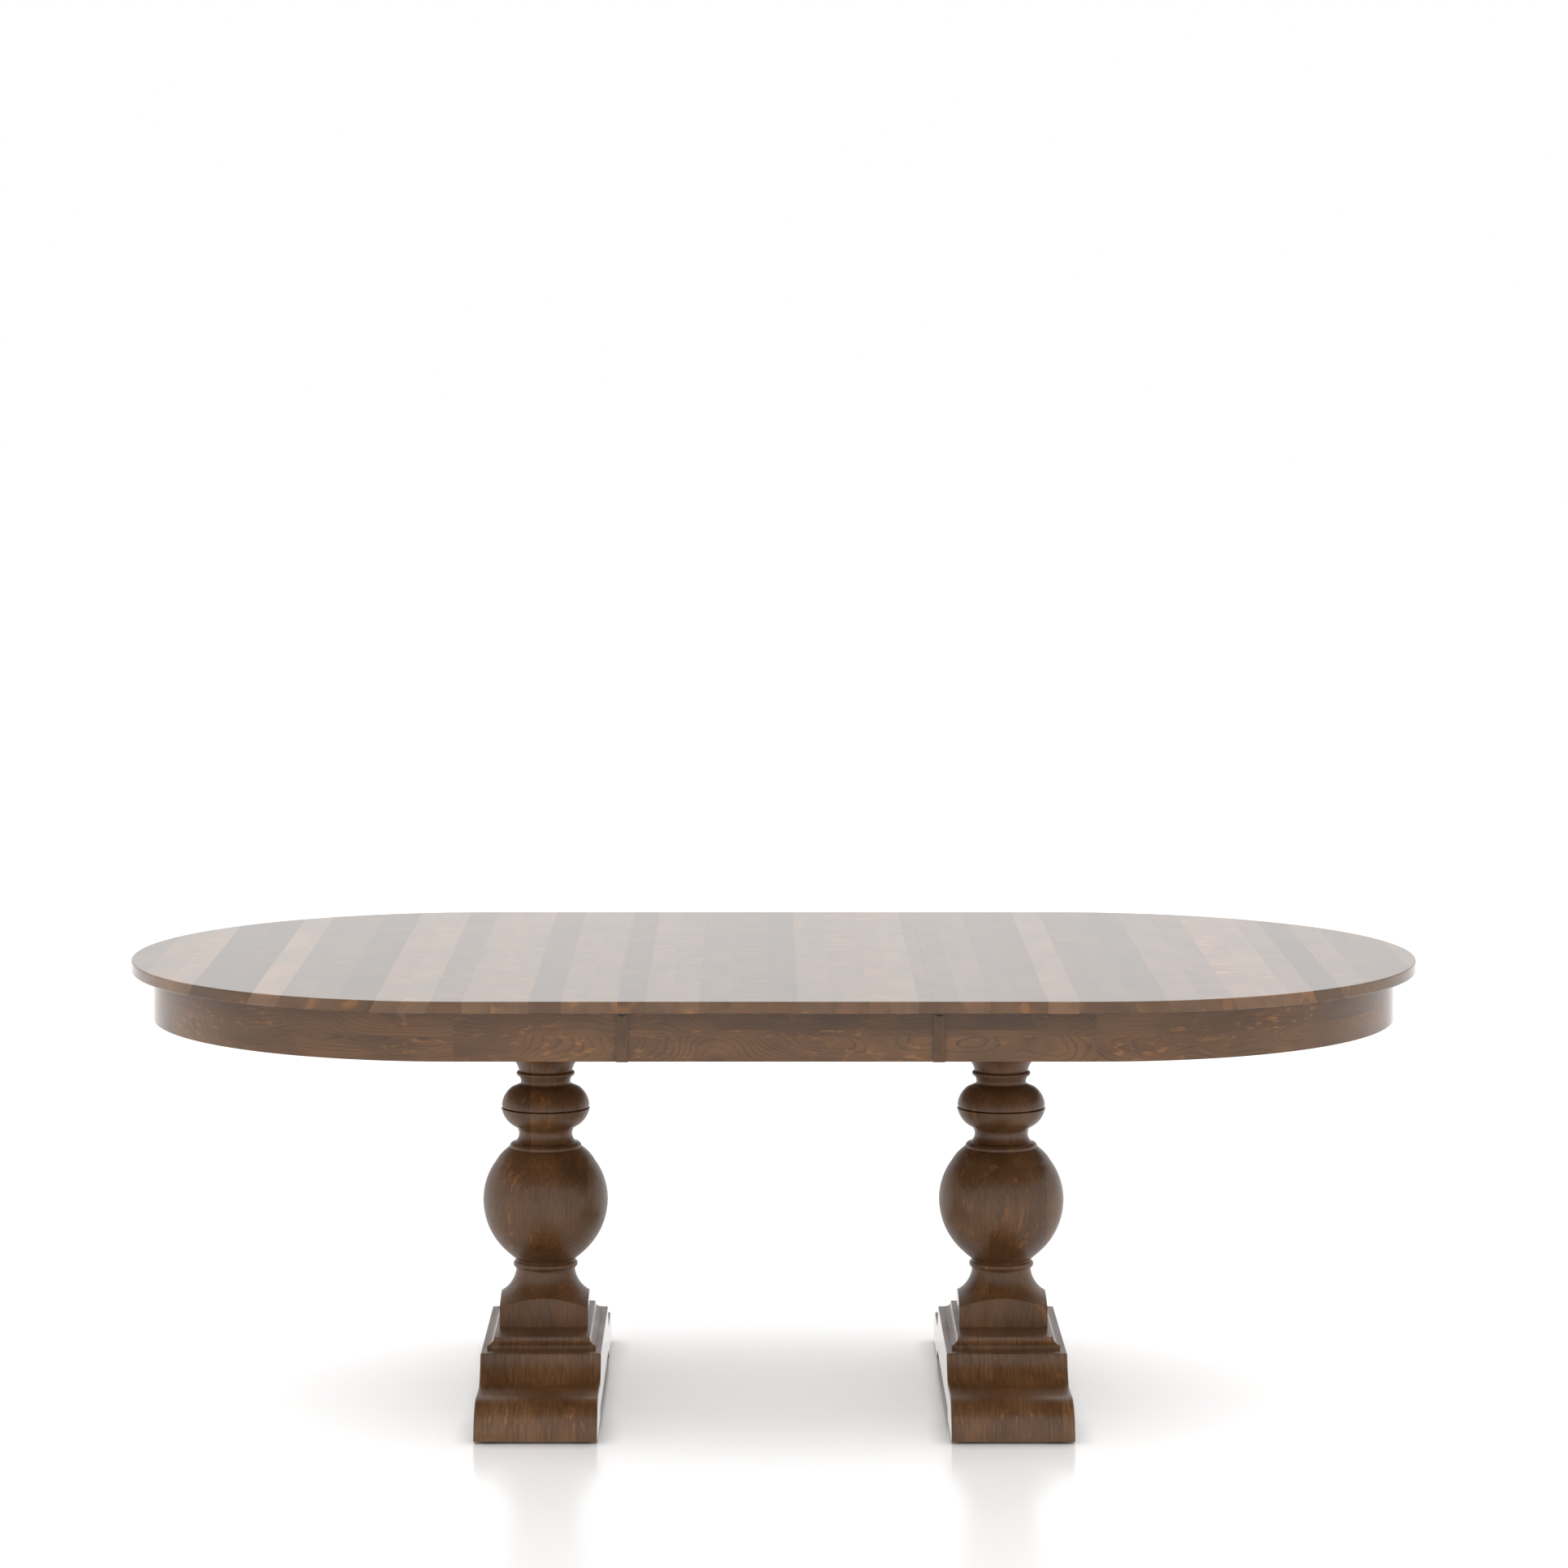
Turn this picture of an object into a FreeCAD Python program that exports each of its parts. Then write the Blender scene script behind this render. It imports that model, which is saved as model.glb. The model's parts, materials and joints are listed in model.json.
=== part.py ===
import FreeCAD, Part
import math
import os
from types import SimpleNamespace

import Sketcher

# Oval extension dining table on two turned pedestals, with one leaf laid in between its halves.
# X runs along the table, Y from front (-) to back (+), Z up. The floor is at Z = 0, and the origin
# is under the middle of the top. Each half of the table is the other one turned half round.

SIZES = (
    # The top
    ("table_height", 762, "floor to the top's upper face"),
    ("table_width", 1219.2, "front edge to back edge"),
    ("straight_length", 1052, "straight part of the long edges, leaf included"),
    ("end_reach", 591.6, "how far each oval end goes beyond the straight part"),
    ("leaf_length", 518, "seam to seam"),
    ("seam_gap", 0.1, "daylight at each seam"),
    ("top_thickness", 20, "solid panel of edge-glued staves"),
    ("edge_round", 2.5, "eased arris of the top"),
    # The apron under the top
    ("apron_inset", 38.4, "overhang of the top beyond the apron"),
    ("apron_height", 83.5, "top's underside to the apron's lower edge"),
    ("apron_thickness", 20, "apron board"),
    ("apron_round", 1.5, "eased arris of the apron's lower edge"),
    ("strip_width", 19.5, "upright cover strip beside each seam"),
    ("strip_proud", 4.5, "how far the strip stands out of the apron"),
    ("strip_notch", 8.5, "radius of the notch in the strip's head"),
    ("strip_round", 1, "eased front corners of the strip"),
    ("block_width", 18, "glue block, square"),
    ("block_length", 60, "glue block along the apron"),
    ("batten_width", 45, "cross batten under the oval end"),
    ("batten_thickness", 22, "cross batten"),
    ("batten_length", 760, "cross batten, front to back"),
    ("batten_middle", 870, "from the table's middle to the cross batten"),
    # The sliding rails
    ("rail_length", 760, "each wooden rail"),
    ("rail_height", 45, "each wooden rail"),
    ("rail_width", 22, "each wooden rail"),
    ("rail_gap", 0.5, "running gap between neighbouring rails"),
    ("slide_spacing", 600, "front middle rail to back middle rail"),
    ("tongue_depth", 6, "dovetail tongue"),
    ("tongue_neck", 8, "dovetail tongue at its root"),
    ("tongue_flare", 2, "how much the tongue widens on each side"),
    ("tongue_level", 12, "rail's lower face to the tongue's middle"),
    ("rail_relief", 1, "how much the middle rail hangs below the others"),
    ("rail_float", 0.5, "gap between the middle rail and the top"),
    ("bolster_relief", 2, "channel in the bolster under the passing rails"),
    # The gears that keep the leaf in the middle
    ("gear_module", 3, "pitch diameter over the number of teeth"),
    ("gear_backlash", 0.3, "taken off the thickness of every tooth"),
    ("gear_width", 7, "face width of the pinion"),
    ("rack_height", 8, "height of the toothed rack"),
    ("rack_level", 31, "rail's lower face to the rack's middle"),
    ("rack_back", 3.2, "rack behind its teeth"),
    ("axle_radius", 4, "pin that the pinion turns on"),
    ("running_fit", 0.06, "radial clearance of a turning hole"),
    ("window_margin", 2, "room round the pinion in the middle rail"),
    ("tie_width", 70, "board that joins the two middle rails"),
    ("tie_thickness", 12, "board that joins the two middle rails"),
    # The pedestals
    ("pedestal_spacing", 796, "axis to axis"),
    ("bolster_length", 760, "front to back"),
    ("bolster_width", 190, "along the table"),
    ("bolster_thickness", 25, "board between rails and column"),
    ("bolster_bevel", 12, "bevel on the bolster's lower ends"),
    ("ball_radius", 110, "widest turning of the column"),
    ("column_square", 153, "square blocks at the column's ends"),
    ("plinth_width", 186, "along the table"),
    ("plinth_depth", 342, "front to back"),
    ("plinth_height", 19, "board under the column"),
    ("plinth_step", 7, "upright edge of the plinth below its cove"),
    ("plinth_cove", 11, "how far the cove draws in"),
    ("foot_width", 206, "along the table"),
    ("foot_depth", 846, "toe to toe"),
    ("foot_height", 102, "foot block"),
    ("foot_flat", 411, "flat on the foot's top, front to back"),
    ("foot_round", 2.5, "eased arrises of the foot"),
    ("arch_depth", 516, "relief under the foot, front to back"),
    ("arch_height", 18, "relief under the foot"),
    ("glide_radius", 15, "plastic glide"),
    ("glide_height", 4, "plastic glide below the foot"),
    ("glide_spigot", 4, "radius of the peg that holds the glide"),
    ("spigot_length", 14, "length of that peg"),
    ("glide_margin", 28, "glide's middle to the foot's edges"),
    # The leaf locks
    ("lock_margin", 121.2, "apron's inner face to each lock"),
    ("lock_pivot", 45, "seam to the lever's pivot"),
    ("lock_stud", 18, "seam to the stud under the leaf"),
    ("stud_radius", 3.5, "stud that the lever hooks"),
    ("lever_thickness", 4, "steel lever"),
    ("lever_width", 14, "steel lever's arm"),
    ("lever_handle", 34, "pivot to the end of the finger tab"),
    ("hook_wall", 7, "metal round the hook's slot"),
    ("hook_play", 0.5, "play between hook and stud"),
    ("plate_thickness", 3, "steel plate of a lock"),
    ("plate_length", 40, "steel plate of a lock"),
    ("plate_width", 30, "steel plate of a lock"),
    # Screws and bolts
    ("screw_radius", 2.5, "wood screw"),
    ("screw_head", 4.5, "radius of a wood screw's head"),
    ("screw_head_height", 3, "wood screw"),
    ("screw_bite", 12, "how far a screw goes into the top"),
    ("screw_margin", 25, "screw to the end of the piece it holds"),
    ("counterbore", 20, "depth of a rail's screw hole before the head"),
    ("bolt_radius", 5, "lag bolt"),
    ("bolt_head", 9, "radius of a lag bolt's head"),
    ("bolt_head_height", 6, "lag bolt"),
    ("bolt_bite", 52, "how far a lag bolt goes into the column"),
    ("bolt_offset", 45, "column's axis to each lag bolt, both ways"),
    ("fastener_fit", 0.1, "clearance round and beyond a fastener"),
)

pinion_teeth = 12
rack_teeth_outward = 30
rack_teeth_inward = 8
pressure_angle = math.radians(20)
tooth_height_share = 0.7
tooth_clearance_share = 0.25
same_place_share = 0.00001

# The turned column, from its foot to its head: radii as shares of the ball's radius, heights as
# shares of the column's height. "to" ends a straight or a curve, "by" is a point on the curve.
column_profile_shares = (
    ("to", 1.018, 0.0),
    ("to", 1.018, 0.0580),
    ("to", 0.6955, 0.0902),
    ("by", 0.5425, 0.1200),
    ("to", 0.4680, 0.1605),
    ("to", 0.4770, 0.1675),
    ("by", 0.5120, 0.1778),
    ("to", 0.4660, 0.1887),
    ("to", 0.4560, 0.1917),
    ("by", 0.5825, 0.2118),
    ("to", 0.7010, 0.2345),
    ("by", 0.8310, 0.2690),
    ("to", 0.9240, 0.3071),
    ("by", 0.9770, 0.3473),
    ("to", 0.9930, 0.3783),
    ("by", 0.9500, 0.4415),
    ("to", 0.7880, 0.5055),
    ("by", 0.7040, 0.5287),
    ("to", 0.5900, 0.5485),
    ("to", 0.5700, 0.5485),
    ("to", 0.5700, 0.5560),
    ("by", 0.5520, 0.5617),
    ("to", 0.5100, 0.5662),
    ("to", 0.4760, 0.5680),
    ("by", 0.4390, 0.5788),
    ("to", 0.4235, 0.5915),
    ("by", 0.4390, 0.6051),
    ("to", 0.4813, 0.6150),
    ("by", 0.6200, 0.6370),
    ("to", 0.7030, 0.6742),
    ("to", 0.6780, 0.6768),
    ("to", 0.6900, 0.6788),
    ("to", 0.6920, 0.6845),
    ("to", 0.6970, 0.6852),
    ("by", 0.6560, 0.7133),
    ("to", 0.5330, 0.7412),
    ("to", 0.4400, 0.7488),
    ("to", 0.4020, 0.7525),
    ("by", 0.3955, 0.7610),
    ("to", 0.4090, 0.7708),
    ("to", 0.4330, 0.7767),
    ("to", 0.4430, 0.7780),
    ("by", 0.4650, 0.7858),
    ("to", 0.4300, 0.7925),
    ("to", 0.4240, 0.7942),
    ("by", 0.5127, 0.8300),
    ("to", 0.6955, 0.8601),
    ("to", 1.018, 0.8931),
    ("to", 1.018, 1.0),
)
block_end_share = 0.15     # height below which the foot block is cut square
head_start_share = 0.82    # height above which the head block is cut square
square_cut_share = 1.2     # reach of those cuts beyond the ball's radius

# The foot's toe seen from the side: distance beyond the flat as shares of the toe's length, and
# height as shares of the foot's height.
toe_profile_shares = (
    ("by", 0.053, 0.795),
    ("to", 0.150, 0.615),
    ("by", 0.200, 0.576),
    ("to", 0.275, 0.566),
    ("to", 0.660, 0.592),
    ("by", 0.777, 0.566),
    ("to", 0.868, 0.495),
    ("by", 0.957, 0.325),
    ("to", 1.0, 0.128),
    ("to", 1.0, 0.0),
)

batten_screw_shares = (-0.4, 0.0, 0.4)
end_block_angle_shares = (-0.68, -0.34, 0.0, 0.34, 0.68)   # of a quarter turn
block_corner_shares = ((-0.5, -0.5), (0.5, -0.5), (0.5, 1.0), (-0.5, 1.0))   # along, inward
hook_mouth_share = 1.3     # how far round the pivot the hook's slot opens, in hook radii


class Size:
    """A number together with the sheet formula that gives it."""

    def __init__(self, value, text):
        self.value = value
        self.text = text

    def __add__(self, other):
        other = as_size(other)
        return Size(self.value + other.value, f"({self.text} + {other.text})")

    def __sub__(self, other):
        other = as_size(other)
        return Size(self.value - other.value, f"({self.text} - {other.text})")

    def __mul__(self, other):
        other = as_size(other)
        return Size(self.value * other.value, f"({self.text} * {other.text})")

    def __truediv__(self, other):
        other = as_size(other)
        return Size(self.value / other.value, f"({self.text} / {other.text})")

    def __neg__(self):
        return Size(-self.value, f"(0 - {self.text})")


def as_size(number):
    return number if isinstance(number, Size) else Size(float(number), f"{float(number):.9f}")


def fill_sheet(doc):
    """Writes the driving sizes into the sheet and returns them under their names."""
    sheet = doc.addObject("Spreadsheet::Sheet", "Sizes")
    named = {}
    for row, (alias, number, note) in enumerate(SIZES, start=1):
        sheet.set(f"A{row}", alias)
        sheet.set(f"B{row}", str(number))
        sheet.set(f"C{row}", note)
        sheet.setAlias(f"B{row}", alias)
    doc.recompute()
    for alias, _number, _note in SIZES:
        named[alias] = Size(float(getattr(sheet, alias)), f"Sizes.{alias}")
    return SimpleNamespace(**named)


doc = FreeCAD.newDocument("OvalDiningTable")
size = fill_sheet(doc)
zero = as_size(0)
near = size.table_height.value * same_place_share

# Levels and distances that several pieces share
half_width = size.table_width / 2
seam = size.leaf_length / 2
tangent = size.straight_length / 2
underside = size.table_height - size.top_thickness
apron_face = half_width - size.apron_inset
apron_back = apron_face - size.apron_thickness
apron_reach = size.end_reach - size.apron_inset
apron_low = underside - size.apron_height
rail_low = underside - size.rail_height
middle_low = rail_low - size.rail_relief
middle_high = underside - size.rail_float
rail_end = size.rail_length / 2
rail_start_x = -(rail_end + seam)          # outer end of a half's own rails
rail_stop_x = rail_end - seam              # inner end, under the leaf
rail_near = size.rail_width / 2 + size.rail_gap
rail_far = rail_near + size.rail_width
slide_y = size.slide_spacing / 2
bolster_low = rail_low - size.bolster_thickness
pedestal_x = size.pedestal_spacing / 2
foot_low = size.glide_height
foot_high = foot_low + size.foot_height
plinth_high = foot_high + size.plinth_height
column_height = bolster_low - plinth_high
pitch_radius = size.gear_module * (pinion_teeth / 2)
tooth_pitch = size.gear_module * math.pi
tooth_rise = size.gear_module * tooth_height_share
tooth_drop = tooth_rise + size.gear_module * tooth_clearance_share
rack_low = rail_low + size.rack_level - size.rack_height / 2
rack_high = rack_low + size.rack_height
gear_low = rail_low + size.rack_level - size.gear_width / 2
gear_high = gear_low + size.gear_width
rack_depth = pitch_radius + tooth_drop + size.rack_back
rack_start_x = -(tooth_pitch * (rack_teeth_outward + 0.5))
rack_stop_x = tooth_pitch * (rack_teeth_inward + 0.5)
lock_reach = size.lock_pivot + size.lock_stud
lock_y = apron_back - size.lock_margin
lever_high = underside - size.plate_thickness - size.rail_gap
lever_low = lever_high - size.lever_thickness

plane_roles = {"XY": "XY_Plane", "XZ": "XZ_Plane", "YZ": "YZ_Plane"}
pieces = []


# Sketches

def sketch_on(body, name, plane, level):
    """An empty sketch on the body's own plane, moved along the plane's axis to level."""
    support = next(f for f in body.Origin.OriginFeatures if f.Role == plane_roles[plane])
    sketch = body.newObject("Sketcher::SketchObject", name)
    sketch.AttachmentSupport = [(support, "")]
    sketch.MapMode = "FlatFace"
    offset = -level if plane == "XZ" else level
    sketch.setExpression("AttachmentOffset.Base.z", offset.text)
    return sketch


def pin_point(sketch, geometry, position, x, y):
    """Holds one point of a sketch at distances bound to the sheet."""
    for kind, distance, axis in (("DistanceX", x, -2), ("DistanceY", y, -1)):
        if distance.value == 0:
            sketch.addConstraint(Sketcher.Constraint("PointOnObject", geometry, position, axis))
            continue
        rule = Sketcher.Constraint(kind, -1, 1, geometry, position, distance.value)
        index = sketch.addConstraint(rule)
        sketch.setExpression(f"Constraints[{index}]", distance.text)


def vector(x, y):
    return FreeCAD.Vector(x.value, y.value, 0)


def draw_path(sketch, path):
    """Draws a closed outline. A point is (x, y), or ("by", x, y) where a curve passes."""
    corners = [point for point in path if len(point) == 2]
    bends = {}
    seen = 0
    for point in path:
        if len(point) == 2:
            seen += 1
        else:
            bends[seen - 1] = point[1:]
    ends = []
    for index, corner in enumerate(corners):
        following = corners[(index + 1) % len(corners)]
        if index in bends:
            bend = bends[index]
            arc = Part.Arc(vector(*corner), vector(*bend), vector(*following))
            geometry = sketch.addGeometry(arc, False)
            mark = sketch.addGeometry(Part.Point(vector(*bend)), True)
            sketch.addConstraint(Sketcher.Constraint("PointOnObject", mark, 1, geometry))
            pin_point(sketch, mark, 1, *bend)
            begins = sketch.getPoint(geometry, 1).distanceToPoint(vector(*corner)) < near
            ends.append((geometry, 1, 2) if begins else (geometry, 2, 1))
        else:
            line = Part.LineSegment(vector(*corner), vector(*following))
            ends.append((sketch.addGeometry(line, False), 1, 2))
    for index, (geometry, first, last) in enumerate(ends):
        follower, start, _end = ends[(index + 1) % len(ends)]
        sketch.addConstraint(Sketcher.Constraint("Coincident", geometry, last, follower, start))
        pin_point(sketch, geometry, first, *corners[index])


def draw_circle(sketch, x, y, radius):
    circle = Part.Circle(vector(x, y), FreeCAD.Vector(0, 0, 1), radius.value)
    geometry = sketch.addGeometry(circle, False)
    pin_point(sketch, geometry, 3, x, y)
    index = sketch.addConstraint(Sketcher.Constraint("Radius", geometry, radius.value))
    sketch.setExpression(f"Constraints[{index}]", radius.text)


def draw_oval(sketch, x, reach, half):
    """A full ellipse centred on the long middle line: reach along X, half along Y."""
    upright = half.value >= reach.value
    longest, shortest = (half, reach) if upright else (reach, half)
    centre = vector(x, zero)
    tip = FreeCAD.Vector(0, half.value, 0) if upright else FreeCAD.Vector(reach.value, 0, 0)
    side = FreeCAD.Vector(reach.value, 0, 0) if upright else FreeCAD.Vector(0, half.value, 0)
    geometry = sketch.addGeometry(Part.Ellipse(centre + tip, centre + side, centre), False)
    sketch.exposeInternalGeometry(geometry)
    pin_point(sketch, geometry, 3, x, zero)
    along = "Vertical" if upright else "Horizontal"
    sketch.addConstraint(Sketcher.Constraint(along, geometry + 1))
    for line, radius in ((geometry + 1, longest), (geometry + 2, shortest)):
        width = radius * 2
        index = sketch.addConstraint(Sketcher.Constraint("Distance", line, width.value))
        sketch.setExpression(f"Constraints[{index}]", width.text)


def rectangle(x_low, x_high, y_low, y_high):
    return [(x_low, y_low), (x_high, y_low), (x_high, y_high), (x_low, y_high)]


# Bodies and their features

def seen_from_front(name, turn):
    """What a front or back piece is called once its half has been turned round."""
    swapped = {"front": "back", "back": "front"}
    return swapped[name] if turn else name


def new_body(name, turn=0):
    """A piece of the table. Its label names its file, and turn swings it round the middle."""
    body = doc.addObject("PartDesign::Body", name)
    body.Label = name
    body.AllowCompound = True
    spin = FreeCAD.Rotation(FreeCAD.Vector(0, 0, 1), turn)
    body.Placement = FreeCAD.Placement(FreeCAD.Vector(0, 0, 0), spin)
    pieces.append(body)
    return body


def extrude(body, kind, name, plane, draw, low, high):
    """Pads or pockets a drawn sketch from low to high along the plane's axis."""
    sketch = sketch_on(body, f"{name}Sketch", plane, low)
    draw(sketch)
    feature = body.newObject(f"PartDesign::{kind}", name)
    feature.Profile = sketch
    feature.setExpression("Length", (high - low).text)
    against = plane == "XZ"
    feature.Reversed = against if kind == "Pad" else not against
    return feature


def pad(body, name, plane, draw, low, high):
    return extrude(body, "Pad", name, plane, draw, low, high)


def pocket(body, name, plane, draw, low, high):
    return extrude(body, "Pocket", name, plane, draw, low, high)


def path(*points):
    """A drawing of one closed outline."""
    return lambda sketch: draw_path(sketch, points)


def paths(outlines):
    """A drawing of several closed outlines."""
    def draw(sketch):
        for outline in outlines:
            draw_path(sketch, outline)
    return draw


def circles(places, radius):
    """A drawing of equal circles."""
    def draw(sketch):
        for x, y in places:
            draw_circle(sketch, x, y, radius)
    return draw


def board(body, name, x_low, x_high, y_low, y_high, z_low, z_high):
    return pad(body, name, "XY", path(*rectangle(x_low, x_high, y_low, y_high)), z_low, z_high)


def round_edges(body, name, radius, wanted):
    """Eases the edges of the body so far that wanted picks by their bounding boxes."""
    doc.recompute()
    base = body.Tip
    edges = enumerate(base.Shape.Edges, start=1)
    names = [f"Edge{index}" for index, edge in edges if wanted(edge.BoundBox)]
    feature = body.newObject("PartDesign::Fillet", name)
    feature.Base = (base, names)
    feature.setExpression("Radius", radius.text)
    return feature


def at(low, high, level):
    """Whether a stretch lies wholly at one level."""
    return abs(low - level.value) < near and abs(high - level.value) < near


def drill(body, name, places, radius, low, high):
    """Round holes straight up through a piece, with room round the fastener."""
    return pocket(body, name, "XY", circles(places, radius + size.fastener_fit), low, high)


def screw_group(body, name, places, head_low, tip):
    """Wood screws that go straight up, heads at the bottom."""
    neck = head_low + size.screw_head_height
    pad(body, f"{name}Heads", "XY", circles(places, size.screw_head), head_low, neck)
    pad(body, f"{name}Shanks", "XY", circles(places, size.screw_radius), neck, tip)


# The top and its aprons

def make_half_top(side, turn, screws):
    body = new_body(f"{side}_top", turn)
    inner = -seam
    board(body, "Straight", -tangent, inner, -half_width, half_width, underside, size.table_height)
    pad(body, "OvalEnd", "XY", lambda sketch: draw_oval(sketch, -tangent, size.end_reach, half_width),
        underside, size.table_height)
    trim = rectangle(inner, seam + size.end_reach, -size.table_width, size.table_width)
    pocket(body, "SeamCut", "XY", path(*trim), underside, size.table_height)
    drill(body, "ScrewHoles", screws, size.screw_radius,
          underside, underside + size.screw_bite + size.fastener_fit)

    def outer_edge(box):
        level = at(box.ZMin, box.ZMax, underside) or at(box.ZMin, box.ZMax, size.table_height)
        beyond = box.YLength > size.leaf_length.value or box.XLength > seam.value / 2
        return level and beyond and box.XMin < inner.value - near

    round_edges(body, "Arris", size.edge_round, outer_edge)


def make_aprons(side, turn):
    for name, face, back in (("front", -apron_face, -apron_back), ("back", apron_back, apron_face)):
        body = new_body(f"{side}_{seen_from_front(name, turn)}_apron", turn)
        board(body, "Board", -tangent, -seam, face, back, apron_low, underside)
        outside = face if name == "front" else back

        def lower_edge(box, outside=outside):
            return at(box.ZMin, box.ZMax, apron_low) and at(box.YMin, box.YMax, outside)

        round_edges(body, "Arris", size.apron_round, lower_edge)

    body = new_body(f"{side}_end_apron", turn)

    def ring(sketch):
        draw_oval(sketch, -tangent, apron_reach, apron_face)
        draw_oval(sketch, -tangent, apron_reach - size.apron_thickness, apron_back)

    pad(body, "Ring", "XY", ring, apron_low, underside)
    inner_half = rectangle(-tangent, seam + size.end_reach, -size.table_width, size.table_width)
    pocket(body, "InnerHalf", "XY", path(*inner_half), apron_low, underside)

    def lower_outer_edge(box):
        return at(box.ZMin, box.ZMax, apron_low) and box.YLength > (apron_back * 2).value + near

    round_edges(body, "Arris", size.apron_round, lower_outer_edge)


def strip_outline(x_low):
    """Front view of a cover strip, with the half-round notch in the middle of its head."""
    x_high = x_low + size.strip_width
    middle = x_low + size.strip_width / 2
    return [
        (x_low, apron_low), (x_high, apron_low), (x_high, underside),
        (middle + size.strip_notch, underside),
        ("by", middle, underside - size.strip_notch),
        (middle - size.strip_notch, underside), (x_low, underside),
    ]


def make_strip(body, name, x_low, at_front):
    face = -apron_face if at_front else apron_face
    outside = face - size.strip_proud if at_front else face + size.strip_proud
    low, high = (outside, face) if at_front else (face, outside)
    pad(body, name, "XZ", path(*strip_outline(x_low)), low, high)

    def front_corner(box):
        return at(box.YMin, box.YMax, outside) and box.ZLength > (size.apron_height / 2).value

    round_edges(body, f"{name}Arris", size.strip_round, front_corner)


def make_blocks(side, turn):
    """Glue blocks in the corner between the aprons and the top."""
    body = new_body(f"{side}_side_blocks", turn)
    beside_end = size.block_length / 2 - tangent
    beside_lock = -seam - size.lock_pivot - size.plate_length - size.block_length
    outlines = []
    for x_low in (beside_end, beside_lock):
        for y_low in (-apron_back, apron_back - size.block_width):
            outlines.append(rectangle(x_low, x_low + size.block_length,
                                      y_low, y_low + size.block_width))
    pad(body, "Blocks", "XY", paths(outlines), underside - size.block_width, underside)

    body = new_body(f"{side}_end_blocks", turn)
    reach = apron_reach - size.apron_thickness
    outlines = []
    for share in end_block_angle_shares:
        angle = share * math.pi / 2
        x = -tangent - reach * math.cos(angle)
        y = apron_back * math.sin(angle)
        corners = []
        for along, inward in block_corner_shares:
            step = size.block_length * along
            depth = size.block_width * inward
            corners.append((
                x + step * math.sin(angle) + depth * math.cos(angle),
                y + step * math.cos(angle) - depth * math.sin(angle),
            ))
        outlines.append(corners)
    pad(body, "Blocks", "XY", paths(outlines), underside - size.block_width, underside)

    def beyond_apron(sketch):
        draw_path(sketch, rectangle(-tangent - size.straight_length, tangent,
                                    -size.table_width, size.table_width))
        draw_oval(sketch, -tangent, reach - size.fastener_fit, apron_back - size.fastener_fit)

    pocket(body, "CurvedBacks", "XY", beyond_apron, underside - size.block_width, underside)


def batten_places():
    return [(-size.batten_middle, size.batten_length * share) for share in batten_screw_shares]


def make_batten(side, turn):
    body = new_body(f"{side}_end_batten", turn)
    low = underside - size.batten_thickness
    board(body, "Batten", -size.batten_middle - size.batten_width / 2,
          -size.batten_middle + size.batten_width / 2,
          -size.batten_length / 2, size.batten_length / 2, low, underside)
    drill(body, "HeadHoles", batten_places(), size.screw_head, low,
          low + size.screw_head_height + size.fastener_fit)
    drill(body, "ScrewHoles", batten_places(), size.screw_radius, low, underside)


# The rails that the table slides on

def own_rail_lines():
    """Where a half's own front and back rails lie, as the middle rail's line beside each."""
    return (("front", -slide_y), ("back", slide_y))


def rail_screw_places():
    places = []
    for _name, line in own_rail_lines():
        y = line - (rail_near + rail_far) / 2
        for x in (rail_start_x + size.screw_margin,
                  -pedestal_x - size.bolster_width / 2 - size.screw_margin,
                  rack_start_x - size.screw_margin):
            places.append((x, y))
    return places


def bolster_screw_places():
    places = []
    for _name, line in own_rail_lines():
        for step in (-size.bolster_width / 3, size.bolster_width / 3):
            places.append((step - pedestal_x, line - (rail_near + rail_far) / 2))
    return places


def rail_section(line):
    """End view of a half's own rail: a dovetail groove below and the rack's groove above."""
    mouth = line - rail_near
    floor = line - rail_near - size.tongue_depth - size.rail_gap
    neck = size.tongue_neck / 2 + size.rail_gap
    wide = neck + size.tongue_flare
    level = rail_low + size.tongue_level
    rack_floor = line - rack_depth
    return [
        (mouth, rail_low), (mouth, level - neck), (floor, level - wide), (floor, level + wide),
        (mouth, level + neck), (mouth, rack_low), (rack_floor, rack_low),
        (rack_floor, rack_high), (mouth, rack_high), (mouth, underside),
        (line - rail_far, underside), (line - rail_far, rail_low),
    ]


def make_own_rails(side, turn):
    for name, line in own_rail_lines():
        body = new_body(f"{side}_{seen_from_front(name, turn)}_rail", turn)
        pad(body, "Rail", "YZ", path(*rail_section(line)), rail_start_x, rail_stop_x)
        places = [(x, y) for x, y in rail_screw_places() if abs(y.value - line.value) < slide_y.value]
        drill(body, "Counterbores", places, size.screw_head,
              rail_low, rail_low + size.counterbore)
        drill(body, "ScrewHoles", places, size.screw_radius, rail_low, underside)
        held = [(x, y) for x, y in bolster_screw_places() if abs(y.value - line.value) < slide_y.value]
        drill(body, "BolsterScrewHoles", held, size.screw_radius,
              rail_low, rail_low + size.counterbore)


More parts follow.
